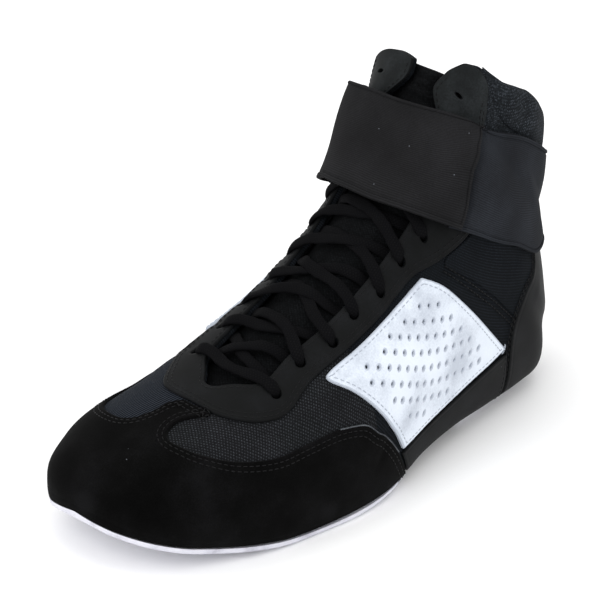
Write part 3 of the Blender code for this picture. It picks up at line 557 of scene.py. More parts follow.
def makeCloth(name, look):
    tones, (weaveShare, grainShare, blotchShare), grainSize, blotchSize, rough, specular, bumpy, depth, more = look
    mat = bpy.data.materials.new(name)
    mat.use_nodes = True
    tree = mat.node_tree
    shader = tree.nodes["Principled BSDF"]
    shader.inputs["Sheen Weight"].default_value = more.get("sheen", 0.0)
    shader.inputs["Sheen Roughness"].default_value = 0.5
    shader.inputs["Specular IOR Level"].default_value = specular
    where = addNode(tree, "TexCoord").outputs["Object"]
    grain = addNode(tree, "TexNoise", {"Scale": 1000 / grainSize, "Detail": 4, "Roughness": 0.65}, {"Vector": where})
    blotch = addNode(tree, "TexNoise", {"Scale": 1000 / blotchSize, "Detail": 3}, {"Vector": where})
    broad = addNode(tree, "Math", {1: blotchShare}, {0: blotch}, operation="MULTIPLY")
    tone = addNode(tree, "Math", {1: grainShare}, {0: grain, 2: broad}, operation="MULTIPLY_ADD")
    height = addNode(tree, "Math", {1: grainShare}, {0: grain}, operation="MULTIPLY")
    if "weave" in more:
        pitch, *turns = more["weave"]
        cloth = addNode(tree, "UVMap", uv_map="cloth")
        threads = []
        for turn in turns:
            turned = addNode(tree, "Mapping", {"Rotation": (0, 0, math.radians(turn))}, {"Vector": cloth})
            threads.append(addNode(
                tree, "TexWave", {"Scale": 0.31416 / pitch, "Distortion": 1.3, "Detail": 3, "Detail Scale": 1.6},
                {"Vector": turned},
            ).outputs["Fac"])
        weave = threads[0]
        if len(threads) > 1:
            weave = addNode(tree, "Math", None, {0: threads[0], 1: threads[1]}, operation="MULTIPLY")
        tone = addNode(tree, "Math", {1: weaveShare}, {0: weave, 2: tone}, operation="MULTIPLY_ADD")
        height = addNode(tree, "Math", {1: weaveShare}, {0: weave, 2: height}, operation="MULTIPLY_ADD")
    # paler places, some rubbed wear and some painted highlight: t, v, radius and how much paler
    for t, v, radius, pale in more.get("worn", ()):
        middle = tuple(place(t, v, 1.5))
        away = addNode(tree, "VectorMath", {1: middle}, {0: where}, operation="DISTANCE").outputs["Value"]
        near = addNode(tree, "Math", {1: -1 / (radius * mm), 2: 1.0}, {0: away}, operation="MULTIPLY_ADD",
                       use_clamp=True)
        tone = addNode(tree, "Math", {1: pale}, {0: near, 2: tone}, operation="MULTIPLY_ADD")
    # tone darker towards the bottom: it rises with height
    if "darkerLow" in more:
        high = addNode(tree, "SeparateXYZ", None, {"Vector": where}).outputs["Z"]
        tone = addNode(tree, "Math", {1: more["darkerLow"]}, {0: high, 2: tone}, operation="MULTIPLY_ADD")
    edge = addNode(tree, "Attribute", attribute_name="edge").outputs["Fac"]
    if "rub" in more:
        rubbed = addNode(tree, "Math", {1: 1 / more["rub"]}, {0: edge}, operation="MULTIPLY", use_clamp=True)
        tone = addNode(tree, "Math", None, {0: tone, 1: rubbed}, operation="MULTIPLY")
    ramp = addNode(tree, "ValToRGB", None, {"Fac": tone})
    stops = ramp.color_ramp.elements
    dark, medium, light = (colour(text) for text in tones.split())
    stops[0].position, stops[0].color = 0.36, dark
    stops[1].position, stops[1].color = 0.68, light
    stops.new(0.50).color = medium
    base = ramp.outputs["Color"]
    if "lint" in more:
        dust = addNode(tree, "TexVoronoi", {"Scale": 1000 / more["lint"]}, {"Vector": where})
        speck = addNode(tree, "Math", {1: 0.24 / more["lint"]}, {0: dust.outputs["Distance"]}, operation="LESS_THAN")
        base = addNode(tree, "Mix", {7: colour("#62666c")}, {0: speck, 6: base}, data_type="RGBA").outputs[2]
    tree.links.new(base, shader.inputs["Base Color"])
    worn = addNode(tree, "Math", {1: 0.25, 2: rough - 0.12}, {0: grain}, operation="MULTIPLY_ADD", use_clamp=True)
    tree.links.new(worn.outputs[0], shader.inputs["Roughness"])
    if "stitch" in more:
        past = addNode(tree, "Math", {1: more["stitch"]}, {0: edge}, operation="SUBTRACT")
        off = addNode(tree, "Math", None, {0: past}, operation="ABSOLUTE")
        dip = addNode(tree, "Math", {1: -1.4, 2: 1.0}, {0: off}, operation="MULTIPLY_ADD", use_clamp=True)
        height = addNode(tree, "Math", {1: -1.0}, {0: dip, 2: height}, operation="MULTIPLY_ADD")
    bump = addNode(tree, "Bump", {"Strength": bumpy, "Distance": depth * mm}, {"Height": height})
    tree.links.new(bump.outputs["Normal"], shader.inputs["Normal"])
    return mat


cloths = {name: makeCloth(name, look) for name, look in looks.items()}
print("stage: materials made")

# Outlines of the patterns, forward on the outer side
stayOuter, throatOuter, throatInner, stayInner = ([(row[0], row[n]) for row in stayRows] for n in (1, 2, 3, 4))
throatBack = throatOuter[::-1] + list(throatToe[::-1]) + throatInner
punched = [(t, v, eyeletRadius) for t, *pair in eyeletRows for v in pair] + list(earHoles)

upperSettings = {"cell": 1.6, "low": -2.0, "high": 0.0, "edge": 0.5}


# Which cloth shows: the quarters, the knit or pleated window of the forefoot, or the collar
def clothAt(t, v):
    if t > 15.2:
        return 4
    if t < 7.6 and abs(v) < 0.68:
        return 2 if v > 0.10 else 3
    return 0


def makeUpper():
    top = [(t, v) for v, t, inner in collarRows[::-1]] + list(outerEar[2::-1]) + throatBack + list(innerEar[:3])
    top += [(t, -v) for v, outer, t in collarRows]
    back = last["heelSeam"]
    outline = np.concatenate([[(0.0, -1.0), (0.0, 1.0), (back, 1.0)], smoothLine(top, False), [(back, -1.0)]])
    clothPanel(
        "upper_shell", outline, upperSettings,
        ("polyester air mesh", "brushed tricot lining", "forefoot knit", "pleated nylon", "looped collar knit"),
        "upper", "knit mesh", holes=punched, closedOver=True, pick=clothAt,
    )


staySettings = {"cell": 0.95, "low": 0.15, "high": 1.45, "edge": 0.5}


def makeStay():
    outline = stayOuter + list(outerEar[::-1]) + throatBack + list(innerEar) + stayInner[::-1] + list(stayToe)
    line = smoothLine(outline, True)
    # the ears, past t 13.4, take the paler copy of the face: painted highlight
    clothPanel(
        "eyestay_overlay", line, staySettings, ("coated microfibre", "coated microfibre", "paler microfibre with painted highlight"),
        "eyestay", "smooth synthetic", holes=punched, pick=lambda t, v: 2 if t > 13.4 else 0,
    )
    return line


capSettings = {"cell": 0.95, "low": 0.15, "high": 1.5, "edge": 0.55}
capRear = (
    (8.42, 0.985), (8.08, 0.840), (7.76, 0.735), (7.56, 0.690), (7.30, 0.625), (6.83, 0.585), (6.21, 0.572),
    (5.59, 0.565), (4.95, 0.515), (4.50, 0.420), (4.30, 0.310), (4.27, 0.235), (4.42, 0.180), (4.72, 0.158),
    (5.00, 0.190), (5.205, 0.222), (5.17, 0.140), (5.16, 0.045), (4.97, 0.000), (4.60, -0.020), (4.32, -0.065),
    (4.20, -0.150), (4.27, -0.270), (4.50, -0.380), (4.95, -0.470), (5.60, -0.525), (6.30, -0.540),
    (7.00, -0.570), (7.35, -0.625), (7.56, -0.680), (7.80, -0.740), (8.08, -0.840), (8.36, -0.985),
)


def makeToeCap():
    rear = smoothLine(capRear, False, corners=(15, 17))
    outline = np.concatenate([[(0.0, -feather), (0.0, feather)], rear])
    clothPanel(
        "toe_cap_suede", outline, capSettings, ("black cow suede",), "toe_cap", "black suede",
        sharp=(capRear[0], capRear[-1]), closedOver=True,
    )
    return rear, outline


bandSettings = {"cell": 1.0, "low": 0.15, "high": 1.3, "edge": 0.4}
bandPattern = (
    (8.47, 0.985), (8.21, 0.866), (8.70, 0.856), (9.90, 0.832), (10.93, 0.806), (11.55, 0.798), (11.28, 0.985),
)
counterSettings = dict(bandSettings, cell=1.1)
counterPattern = (
    (14.90, 0.520), (14.17, 0.560), (13.20, 0.620), (12.30, 0.684), (11.72, 0.790), (11.36, 0.985),
    (13.40, 0.985), (14.05, 1.000),
)
counterTop = ((16.20, 0.680), (17.20, 0.850), (17.80, 1.000))
saddlePattern = (
    (7.02, 0.392), (7.12, 0.361), (7.80, 0.352), (8.70, 0.342), (9.72, 0.328), (10.15, 0.400), (10.55, 0.500),
    (11.00, 0.620), (11.52, 0.772), (10.93, 0.788), (9.90, 0.814), (8.70, 0.840), (8.22, 0.845),
    (7.98, 0.740), (7.64, 0.610), (7.30, 0.485),
)
saddleCorners = (4, 8, 12)
saddleSettings = {
    "cell": 0.75, "low": 0.15, "high": 1.7, "edge": 0.5, "ventRadius": 0.75, "ventPitch": 6.4, "ventMargin": 6.0,
}


def mirrored(pattern):
    return [(t, -v) for t, v in reversed(pattern)]


sides = (("lateral", list), ("medial", mirrored))


def makeBands():
    for side, placed in sides:
        clothPanel(
            f"waist_band_{side}_overlay", smoothLine(placed(bandPattern), True, corners=(0, 1, 5, 6)), bandSettings,
            ("coated microfibre",), f"waist_band_{side}", "smooth synthetic",
        )


def makeCounter():
    inner = [(t, 2 - v) for t, v in counterPattern[-2::-1]]
    top = [(t, 2 - v) for t, v in counterTop[:-1]] + list(counterTop[::-1])
    line = smoothLine(list(counterPattern) + inner + top, True, corners=(0, 5, 6, 7, 8, 9, 14))
    clothPanel(
        "heel_counter_overlay", line, counterSettings, ("coated microfibre",), "heel_counter", "smooth synthetic",
        vMid=1.0,
    )
    return smoothLine(counterPattern[5::-1], False)


# The quarter's mesh is one layer more behind its seam, and the counter covers the rear edge of that layer
flapSettings = {"cell": 1.1, "low": 0.02, "high": 0.75, "edge": 0.3}
flapPattern = (
    (10.50, 0.345), (11.05, 0.455), (11.65, 0.570), (12.22, 0.690), (12.60, 0.680), (13.20, 0.640), (14.20, 0.580),
    (15.00, 0.530), (14.60, 0.420), (14.00, 0.300), (12.00, 0.342),
)


def makeFlaps():
    for side, placed in sides:
        clothPanel(
            f"quarter_flap_{side}", smoothLine(placed(flapPattern), True), flapSettings, ("polyester air mesh",),
            slot="knit mesh",
        )
    return smoothLine(flapPattern[:4], False)


# Small round vents in a staggered field, kept off the saddle's edges
def ventField(line):
    flat = flatten(*line.T)
    middle = flat.mean(axis=0)
    turn = math.radians(math.copysign(38, middle[1]))
    i, j = (grid.ravel() for grid in np.meshgrid(np.arange(-16, 17), np.arange(-16, 17), indexing="ij"))
    a = (i + 0.5 * (j % 2)) * saddleSettings["ventPitch"]
    b = j * saddleSettings["ventPitch"] * 0.866
    x, y = math.cos(turn), math.sin(turn)
    spots = middle + np.stack([a * x - b * y, a * y + b * x], axis=1)
    spots = spots[outlineDistance(spots, flat)[0] > saddleSettings["ventMargin"]]
    return [(t, v, saddleSettings["ventRadius"]) for t, v in zip(*unflatten(spots))]


def makeSaddles():
    lines = []
    for side, placed in sides:
        pattern = placed(saddlePattern)
        corners = saddleCorners if side == "lateral" else [len(pattern) - 1 - n for n in saddleCorners]
        lines.append(smoothLine(pattern, True, corners=corners))
        clothPanel(
            f"saddle_{side}_overlay", lines[-1], saddleSettings, ("white coated microfibre",), f"saddle_{side}",
            "white synthetic", holes=ventField(lines[-1]),
        )
    return lines


makeUpper()
print("stage: upper made")
stayLine = makeStay()
capLine, capOutline = makeToeCap()
makeBands()
counterLine = makeCounter()
flapLine = makeFlaps()
saddleLines = makeSaddles()
print("stage: overlays made")


# One stitch: a short thread that dips at both ends. It is modelled once and copied along the seams.
stitchSettings = {"pitch": 2.7, "length": 2.1, "radius": 0.26, "sides": 5}


def stitchShape(length, radius):
    deselectAll()
    bpy.ops.mesh.primitive_cylinder_add(vertices=stitchSettings["sides"], radius=radius, depth=length)
    one = bpy.context.object
    bpy.ops.object.mode_set(mode="EDIT")
    bpy.ops.mesh.select_all(action="SELECT")
    bpy.ops.transform.rotate(value=math.pi / 2, orient_axis="Y", center_override=(0, 0, 0))
    bpy.ops.mesh.bisect(plane_co=(-length * 0.3, 0, 0), plane_no=(1, 0, 0))
    bpy.ops.mesh.select_all(action="SELECT")
    bpy.ops.mesh.bisect(plane_co=(length * 0.3, 0, 0), plane_no=(1, 0, 0))
    bpy.ops.object.mode_set(mode="OBJECT")
    for vert in one.data.vertices:
        end = max(0.0, abs(vert.co.x) / (length * 0.5) - 0.55) / 0.45
        vert.co.z -= end * radius * 1.3
        vert.co.y *= 1 - 0.35 * end
    points = np.array([v.co[:] for v in one.data.vertices])
    faces = [list(p.vertices) for p in one.data.polygons]
    bpy.data.objects.remove(one, do_unlink=True)
    return points, faces


stitchPoints, stitchFaces = stitchShape(stitchSettings["length"] * mm, stitchSettings["radius"] * mm)


# Shifts a pattern line sideways by a distance in millimetres, to its left as it runs
def besideLine(line, shift):
    flat = flatten(*line.T)
    along = unit(np.gradient(flat, axis=0))
    return np.stack(unflatten(flat + np.stack([-along[:, 1], along[:, 0]], axis=1) * shift), axis=1)


stitchRuns = {"black": [], "grey": []}


# Stitches along a pattern line, after the points that lie too close are taken out of it
def sewLine(line, lift, kind="black"):
    flat = flatten(*line.T)
    kept = [0]
    for n in range(1, len(flat)):
        if np.linalg.norm(flat[n] - flat[kept[-1]]) > 0.35:
            kept.append(n)
    line = line[kept]
    run = runAlong(place(*line.T, lift)) / mm
    at = np.arange(0.5 * stitchSettings["pitch"], run[-1], stitchSettings["pitch"])
    t, v = (np.interp(at, run, line[:, n]) for n in (0, 1))
    centre = place(t, v, lift)
    along = unit(np.gradient(centre, axis=0))
    side = unit(np.cross(outAt(t, v), along))
    turned = stitchPoints @ np.stack([along, side, np.cross(along, side)], axis=1) + centre[:, None]
    stitchRuns[kind].append(turned.reshape(-1, 3))


# Rows beside an edge, on the side where its panel lies
def sewInside(line, outline, insets, lift):
    middle = len(line) // 2
    trial = besideLine(line, 1.0)[middle:middle + 1]
    side = 1 if outlineDistance(flatten(*trial.T), flatten(*outline.T))[0][0] > 0 else -1
    for inset in insets:
        sewLine(besideLine(line, inset * side), lift)


def sewPanels():
    for line in saddleLines:
        shift = 2.0 * turning(flatten(*line.T))
        sewLine(besideLine(np.concatenate([line, line[:1]]), shift), saddleSettings["high"] + 0.02, "grey")
    outer = smoothLine(stayInner[::-1] + list(stayToe) + stayOuter, False)
    sewInside(outer, stayLine, (1.7, 3.6), staySettings["high"])
    sewInside(smoothLine(throatBack, False), stayLine, (2.0,), staySettings["high"])
    sewInside(capLine, capOutline, (1.9, 3.9), capSettings["high"])
    for side in (1, -1):
        for seam, insets, lift in ((flapLine, (1.3, 3.3), flapSettings["high"]),
                                   (counterLine, (-1.7, -3.4), bandSettings["high"])):
            for inset in insets:
                sewLine(besideLine(seam * (1, side), inset * side), lift)


def finishStitches():
    for kind, slot in (("black", "smooth synthetic"), ("grey", "white synthetic")):
        points = np.concatenate(stitchRuns[kind])
        starts = range(0, len(points), len(stitchPoints))
        faces = [[start + n for n in face] for start in starts for face in stitchFaces]
        meshPiece(f"topstitching_{kind}", points, faces, (f"{kind} nylon thread",), None, slot=slot, angle=60)


sewPanels()


# A tube with an oval section along points, wide across the surface and flat on it
def ovalTube(points, out, halfWidth, halfHeight, sides, flat=1.0):
    along = unit(np.gradient(points, axis=0))
    side = unit(np.cross(out, along))
    angle = np.arange(sides) * 2 * math.pi / sides
    wide, tall = (np.sign(share) * np.abs(share) ** flat for share in (np.cos(angle), np.sin(angle)))
    halfWidth, halfHeight = (np.broadcast_to(half, len(points)) for half in (halfWidth, halfHeight))
    rings = points[:, None] + mm * ((halfWidth[:, None] * wide)[..., None] * side[:, None]
                                    + (halfHeight[:, None] * tall)[..., None] * np.cross(along, side)[:, None])
    girth = math.pi * float(np.mean(halfWidth + halfHeight))
    around = np.tile(np.arange(sides) / sides * girth, len(points))
    uv = np.stack([np.repeat(runAlong(points) / mm, sides), around], axis=1)
    return rings.reshape(-1, 3), ringFaces(len(points), sides), uv


pipingSettings = {"radius": 0.34, "sides": 8, "sunk": 0.35, "lateral": slice(1, 6), "medial": slice(27, 32)}


# Thin cord along the suede's rear edge on both sides
def makePiping():
    for side, placed in sides:
        t, v = smoothLine(capRear[pipingSettings[side]], False, step=0.8).T
        points = place(t, v, capSettings["high"] - pipingSettings["sunk"])
        radius = pipingSettings["radius"]
        ring, faces, uv = ovalTube(points, outAt(t, v), radius, radius, pipingSettings["sides"])
        meshPiece(f"edge_piping_{side}", ring, faces, ("grey piping tape",), uv, slot="black suede")


makePiping()
print("stage: seams sewn")

tongueSettings = {
    "rows": ((5.45, 0.56, 0.048, -4.2, 2.6), (6.20, 0.90, 0.034, -2.6, 3.6), (7.00, 0.94, 0.020, -1.2, 4.4),
             (9.00, 0.99, 0.0, -0.9, 4.6), (12.00, 0.96, 0.0, -0.9, 4.8), (14.00, 0.90, 0.012, -1.1, 5.2),
             (15.80, 0.83, 0.030, -1.3, 5.6), (16.40, 0.80, 0.035, -1.8, 4.6), (16.55, 0.78, 0.036, -3.0, 2.4)),
    "half": 0.27,
    "columns": 45,
    "step": 1.4,
}


# The tongue swells up in the throat and lies lower under the stay
def makeTongue():
    table = np.array(tongueSettings["rows"])
    start, end = np.interp(table[[0, -1], 0], tFine, runT)
    t = np.interp(np.arange(start, end + 0.1, tongueSettings["step"]), runT, tFine)
    t[-1] = table[-1, 0]
    across = np.linspace(-1, 1, tongueSettings["columns"])
    spread, shift, crown, thick = (np.interp(t, table[:, 0], table[:, n])[:, None] for n in range(1, 5))
    stay = np.array(stayRows)
    outerEdge, innerEdge = (np.interp(t, stay[:, 0], stay[:, n])[:, None] for n in (2, 3))
    t, v = np.broadcast_arrays(t[:, None], across * tongueSettings["half"] * spread + shift)
    rise = np.clip(1.25 - np.abs(v - (outerEdge + innerEdge) / 2) / (outerEdge - innerEdge) * 2, 0, 1)
    rise = rise * rise * (3 - 2 * rise)
    lift = -5.0 + (crown + 5.0) * rise
    lift = lift + 0.35 * np.sin(t * 9.0 + 3 * across) * rise * np.exp(-((t - 12) / 6) ** 2)
    edgeRound = np.sqrt(np.clip(1 - (np.abs(across).clip(0.86) - 0.86) ** 2 / 0.14 ** 2, 0, 1))
    thinned = thick * 0.45 * (1 - edgeRound)
    points, faces = slab(place(t, v, lift - thinned, False), place(t, v, lift - thick + thinned, False))
    uv = np.tile(flatten(t, v).reshape(-1, 2), (2, 1))
    # the tongue's knit is darkened: painted shade
    piece = meshPiece("tongue_padded", points, faces, ("tongue knit with painted shade",), uv, "tongue", "padded lining")


makeTongue()

# The roll round the collar's top: t from the edge, and lift, round its section from the outer seam over the top
rollSettings = {
    "section": ((-1.40, 0.1), (-1.34, 0.8), (-1.08, 1.8), (-0.66, 2.4), (-0.24, 2.1), (0.02, 1.1), (0.13, -0.4),
                (0.17, -2.4), (0.14, -4.6), (0.03, -6.6), (-0.18, -8.2), (-0.45, -9.0), (-0.75, -8.8), (-1.02, -7.4),
                (-1.22, -5.2), (-1.34, -3.2), (-1.42, -2.2), (-1.44, -1.0)),
    "from": 0.240,
    "steps": 150,
}


def makeRoll():
    section = np.array(rollSettings["section"])
    neighbours = [np.roll(section, n, axis=0) for n in (1, 0, -1, -2)]
    section = np.stack([section, between(*neighbours, 0.5)], axis=1).reshape(-1, 2)
    start = rollSettings["from"]
    v = np.linspace(start, 2 - start, rollSettings["steps"])[:, None]
    folded = np.minimum(v, 2 - v)
    heights = np.array(collarRows).T
    edge = np.where(v <= 1, np.interp(folded, heights[0], heights[1]), np.interp(folded, heights[0], heights[2]))
    taper = np.minimum(1.0, 0.22 + 0.78 * np.sin(np.minimum((folded - start) / 0.16, 1.0) * math.pi / 2))
    t = edge + section[:, 0] * (0.70 + 0.30 * taper)
    lift = -2.0 + (section[:, 1] + 2.0) * taper + 0.25 * np.sin(v * 37) * (section[:, 1] > -1)
    t, v = np.broadcast_arrays(t, v)
    points = place(t, v, lift, creased=False)
    run = np.cumsum(np.linalg.norm(np.diff(points, axis=1, prepend=points[:, :1]), axis=2), axis=1) / mm
    uv = np.stack([run, v * 95], axis=-1).reshape(-1, 2)
    piece = meshPiece("collar_roll", points.reshape(-1, 3), ringFaces(*v.shape), ("looped collar knit",), uv,
                      "collar_pad", "padded lining")


makeRoll()
print("stage: tongue and collar made")


# Shares across a band: steps of a fraction of a millimetre at both edges, where the binding lies, wider between
def bandSteps(width, step):
    rim = np.array((0, 0.15, 0.4, 0.8, 1.2, 1.45, 1.7, 2.0, 2.6, 3.4))
    middle = np.linspace(4.2, width - 4.2, max(2, int((width - 8.4) / step)))
    return np.concatenate([rim, middle, width - rim[::-1]]) / width


strapSettings = {
    "thick": 1.9, "rearThick": 2.2, "step": 1.1,
    # height over the face from the cut edge inwards: a thin bound rim, its groove, then the flat face
    "rim": ((0, 0.0), (0.15, 0.16), (0.4, 0.30), (1.2, 0.32), (1.45, 0.20), (1.7, -0.34), (2.0, -0.22), (2.6, 0.0)),
}
# the front piece: v and t of its lower edge, v and t of its upper edge, how far each stands off
strapRows = np.array((
    (-0.620, 15.00, -0.620, 18.10, 5.00, 5.00), (-0.520, 13.85, -0.520, 17.70, 5.00, 5.00),
    (-0.420, 12.55, -0.420, 17.05, 5.20, 5.30), (-0.340, 11.65, -0.330, 16.25, 6.00, 6.60),
    (-0.270, 11.05, -0.250, 15.50, 7.30, 7.90), (-0.200, 10.72, -0.170, 14.92, 7.50, 8.10),
    (-0.100, 10.30, -0.095, 14.45, 6.90, 8.00), (0.000, 10.16, -0.010, 14.26, 6.40, 7.90),
    (0.075, 10.20, 0.050, 14.30, 6.50, 7.90), (0.150, 10.40, 0.105, 14.50, 7.30, 7.70),
    (0.220, 10.76, 0.155, 14.84, 7.00, 6.90), (0.290, 11.28, 0.215, 15.65, 4.80, 5.00),
))
rearStrapRows = np.array((
    (0.270, 11.10, 0.180, 15.15), (0.330, 11.62, 0.260, 15.95), (0.400, 12.30, 0.350, 16.85),
    (0.470, 13.15, 0.450, 17.62), (0.560, 14.30, 0.560, 18.08), (0.660, 15.35, 0.680, 18.38),
    (0.800, 16.35, 0.820, 18.68), (1.000, 16.90, 1.000, 18.85),
))


# A band from pattern rows, each row across it. The rows and columns are close together at its edges.
def bandPiece(name, pattern, lift, bow, thick, look, replaced):
    cuts, ends = (place(pattern[:, n + 1], pattern[:, n], 0.0) for n in (0, 2))
    wide = np.linalg.norm(ends - cuts, axis=1).mean() / mm
    run = runAlong(cuts) / mm
    down = bandSteps(run[-1], strapSettings["step"])[:, None]
    across = bandSteps(wide, strapSettings["step"])[None, :]
    at = np.interp(down * run[-1], run, np.arange(len(pattern)))
    rows = curveThrough(pattern, at[:, 0])
    v, t = (rows[:, n:n + 1] + (rows[:, n + 2:n + 3] - rows[:, n:n + 1]) * across for n in (0, 1))
    v = v + bow(across, at)
    points = place(t, v, lift(rows, across, at), creased=False)
    out = outAt(t, v)
    off = np.minimum(np.minimum(across, 1 - across) * wide, np.minimum(down, 1 - down) * run[-1])
    rim = np.interp(off, *np.array(strapSettings["rim"]).T)
    top = points + out * ((thick + rim) * mm)[..., None]
    low = points + out * (0.25 * (1 - np.clip(off / 0.8, 0, 1)) * mm)[..., None]
    uv = np.stack(np.broadcast_arrays(down * run[-1], across * wide), axis=-1).reshape(-1, 2)
    meshPiece(name, *slab(top, low), (look,), np.tile(uv, (2, 1)), replaced, "elastic webbing")


# The seam where the two pieces meet is cut straight, so its pattern line is a bow
def seamBow(across, share):
    return -0.052 * np.interp(across, (0, 0.2, 0.42, 0.66, 0.85, 1), (0, 0.42, 0.88, 1, 0.7, 0)) * np.clip(share, 0, 1)


# The front piece lies in slack waves over the laces
def frontLift(rows, across, at):
    slack = 0.45 * np.sin(across * math.pi) * np.sin(at * 1.3 + across * 2) + 0.25 * np.sin(at * 2.1 - across * 4 + 1)
    return rows[:, 4:5] + (rows[:, 5:6] - rows[:, 4:5]) * across + slack * np.clip(np.minimum(at, 11 - at), 0, 1)


# The rear piece is pulled tight, steps down beside the seam, and its upper edge stands off behind the ankle
def rearLift(rows, across, at):
    v = rows[:, 0:1] + (rows[:, 2:3] - rows[:, 0:1]) * across + seamBow(across, 1 - at / 1.5)
    seam = strapRows[-1, 0] + (strapRows[-1, 2] - strapRows[-1, 0]) * across + seamBow(across, 1)
    step = -1.7 * np.clip((0.017 - v + seam) / 0.006, 0, 1)
    behind = 2.0 * across ** 3 * np.exp(-((rows[:, 0:1] - 1.0) / 0.26) ** 2)
    return step + 1.9 - 0.4 * (1 - across) ** 2 + 0.9 * np.sin(across * math.pi) + 0.1 * np.sin(at * 3.0) + behind


def makeStraps():
    bandPiece("ankle_strap_elastic", strapRows, frontLift, lambda across, at: seamBow(across, (at - 7.5) / 3),
              strapSettings["thick"], "woven elastic, front", "ankle_strap")
    other = rearStrapRows[-2::-1] * (-1, 1, -1, 1) + (2, 0, 2, 0)
    # the heel piece's paler elastic is painted highlight
    bandPiece("heel_strap_elastic", np.concatenate([rearStrapRows, other]), rearLift,
              lambda across, at: seamBow(across, 1 - at / 1.5), strapSettings["rearThick"],
              "woven elastic, rear", "heel_strap")


makeStraps()
print("stage: straps made")

laceSettings = {"halfWidth": 2.65, "halfHeight": 1.0, "holeWidth": 1.6, "step": 0.9, "sides": 16, "under": -3.6}


# One lace from the first bar up both sides: out of a hole, over the tongue, under the other side and out again
def laceRoute(start, end, startUnder, endUnder, crossing):
    middle = 0.9 + crossing
    top = 1.45 + laceSettings["halfHeight"]
    low = laceSettings["under"]
    inside = ((0.0, low), (0.14, low), (0.25, -1.0), (0.38, middle), (0.5, middle))
    outside = ((0.0, -2.6), (0.012, 0.4), (0.035, top - 0.3), (0.08, top + 0.25), (0.17, top + 0.1),
               (0.27, middle + 0.8), (0.38, middle + 0.15), (0.5, middle))
    f = np.linspace(0, 1, 47)
    first, second = (np.interp(g, *np.array(inside if under else outside).T)
                     for g, under in ((f, startUnder), (1 - f, endUnder)))
    loose = np.sin(f * math.pi) * np.sin(f * 5.0 + start[0] * 7 + start[1] * 9)
    t = start[0] + (end[0] - start[0]) * f + 0.11 * loose
    v = start[1] + (end[1] - start[1]) * f + 0.008 * loose
    return np.stack([t, v, np.where(f <= 0.5, first, second)], axis=1)


def makeLace():
    holes = [((t, outer), (t, inner)) for t, outer, inner in eyeletRows]
    routes = [laceRoute(*holes[0], False, False, 0.4)]
    for n in range(len(holes) - 1):
        for first in (0, 1):
            # the first pair runs inside, the others start on top and end under the far side
            over = 1.2 if (n + first) % 2 else -0.35
            routes.append(laceRoute(holes[n][first], holes[n + 1][1 - first], n == 0, True, over))
    rings, faces, uvs = [], [], []
    total = 16.0 * len(holes)                      # what runs through the walls at the eyelets
    for number, route in enumerate(routes):
        points = place(*route.T, creased=False)
        run = runAlong(points) / mm
        at = np.arange(0, run[-1], laceSettings["step"])
        t, v = (np.interp(at, run, route[:, n]) for n in (0, 1))
        points = np.stack([np.interp(at, run, points[:, n]) for n in range(3)], axis=1)
        for turn in range(3):
            points[1:-1] = 0.25 * points[:-2] + 0.5 * points[1:-1] + 0.25 * points[2:]
        # it rocks a little about its own length, and narrows where it goes into an eyelet
        out = outAt(t, v)
        side = unit(np.cross(out, np.gradient(points, axis=0)))
        out = out + side * (0.22 * np.sin(at * 0.16 + number * 2.1))[:, None]
        endOff = np.clip(np.minimum(at, run[-1] - at) / 6, 0, 1)
        width = laceSettings["holeWidth"] + (laceSettings["halfWidth"] - laceSettings["holeWidth"]) * endOff
        width = width + 0.14 * np.sin(at * 0.42 + number) + 0.08 * np.sin(at * 1.1)
        height = laceSettings["halfHeight"] * (1.25 - 0.25 * endOff) + 0.08 * np.sin(at * 0.31 + number)
        ring, tube, uv = ovalTube(points, out, width, height, laceSettings["sides"], flat=0.75)
        base = sum(len(r) for r in rings)
        faces += [[i + base for i in f] for f in tube]
        rings.append(ring)
        uvs.append(uv)
        total += run[-1]
    print(f"lace length on the shoe {total:.0f} mm")
    meshPiece("lace_braided", np.concatenate(rings), faces, ("polyester braid",), np.concatenate(uvs), "lace",
              "round lace")


makeLace()
print("stage: lace run")

soleSettings = {
    "gap": 0.3, "flare": 1.6, "thick": 2.9, "edge": 1.2, "padInset": 5.0, "boardInset": 0.4, "boardGap": 0.5,
    "board": 1.5,
}
frontThickness = np.array(((0.0, 0.60), (1.0, 0.70), (2.0, 0.85), (4.0, 1.0), (7.0, 1.0), (8.0, 0.85), (8.40, 0.45)))


# The sole's inner and outer edge, set out from the foot's edge or in from it
def footEdges(tRows, out):
    inner, outer = (fromTable(lastTable, tRows, np.full(len(tRows), side)) for side in (-1.0, 1.0))
    if out <= 0:
        return inner - (out * mm, 0, 0), outer + (out * mm, 0, 0)
    loop = np.concatenate([inner[::-1], outer[1:]])
    along = np.gradient(loop, axis=0)
    normal = unit(np.stack([along[:, 1], -along[:, 0], np.zeros(len(loop))], axis=1))
    loop = loop + normal * out * mm * (1 if normal[len(tRows) - 1, 1] < 0 else -1)
    return loop[:len(tRows)][::-1], loop[len(tRows) - 1:]


# A slab between both edges, with the heights of its two faces
def betweenEdges(name, edges, share, high, low, look, replaced, slot, angle=50):
    plan = edges[0][:, None] * (1 - share[:, None]) + edges[1][:, None] * share[:, None]
    top, under = plan.copy(), plan.copy()
    top[..., 2] = high
    under[..., 2] = low
    points, faces = slab(top, under)
    meshPiece(name, points, faces, (look,), points[:, :2] / mm, replaced, slot, angle)


def solePiece(name, tRows, out, topDrop, thickness, look, replaced, slot):
    top = fromTable(lastTable, tRows, np.ones(len(tRows)))[:, 2] / mm - topDrop
    low = np.maximum(0.0, top - thickness)
    share = np.concatenate([[-1, -0.985, -0.96], np.linspace(-0.9, 0.9, 15), [0.96, 0.985, 1]])
    rise = np.minimum(1.0, (top - low) / (2.2 * soleSettings["edge"]))[:, None]
    lift = np.interp(np.abs(share), (0, 0.95, 0.985, 1.0), (0, 0, 0.35, 1.0)) * soleSettings["edge"] * rise
    betweenEdges(name, footEdges(tRows, out), (share + 1) / 2, top[:, None] * mm, (low[:, None] + lift) * mm, look,
                 replaced, slot, 35)


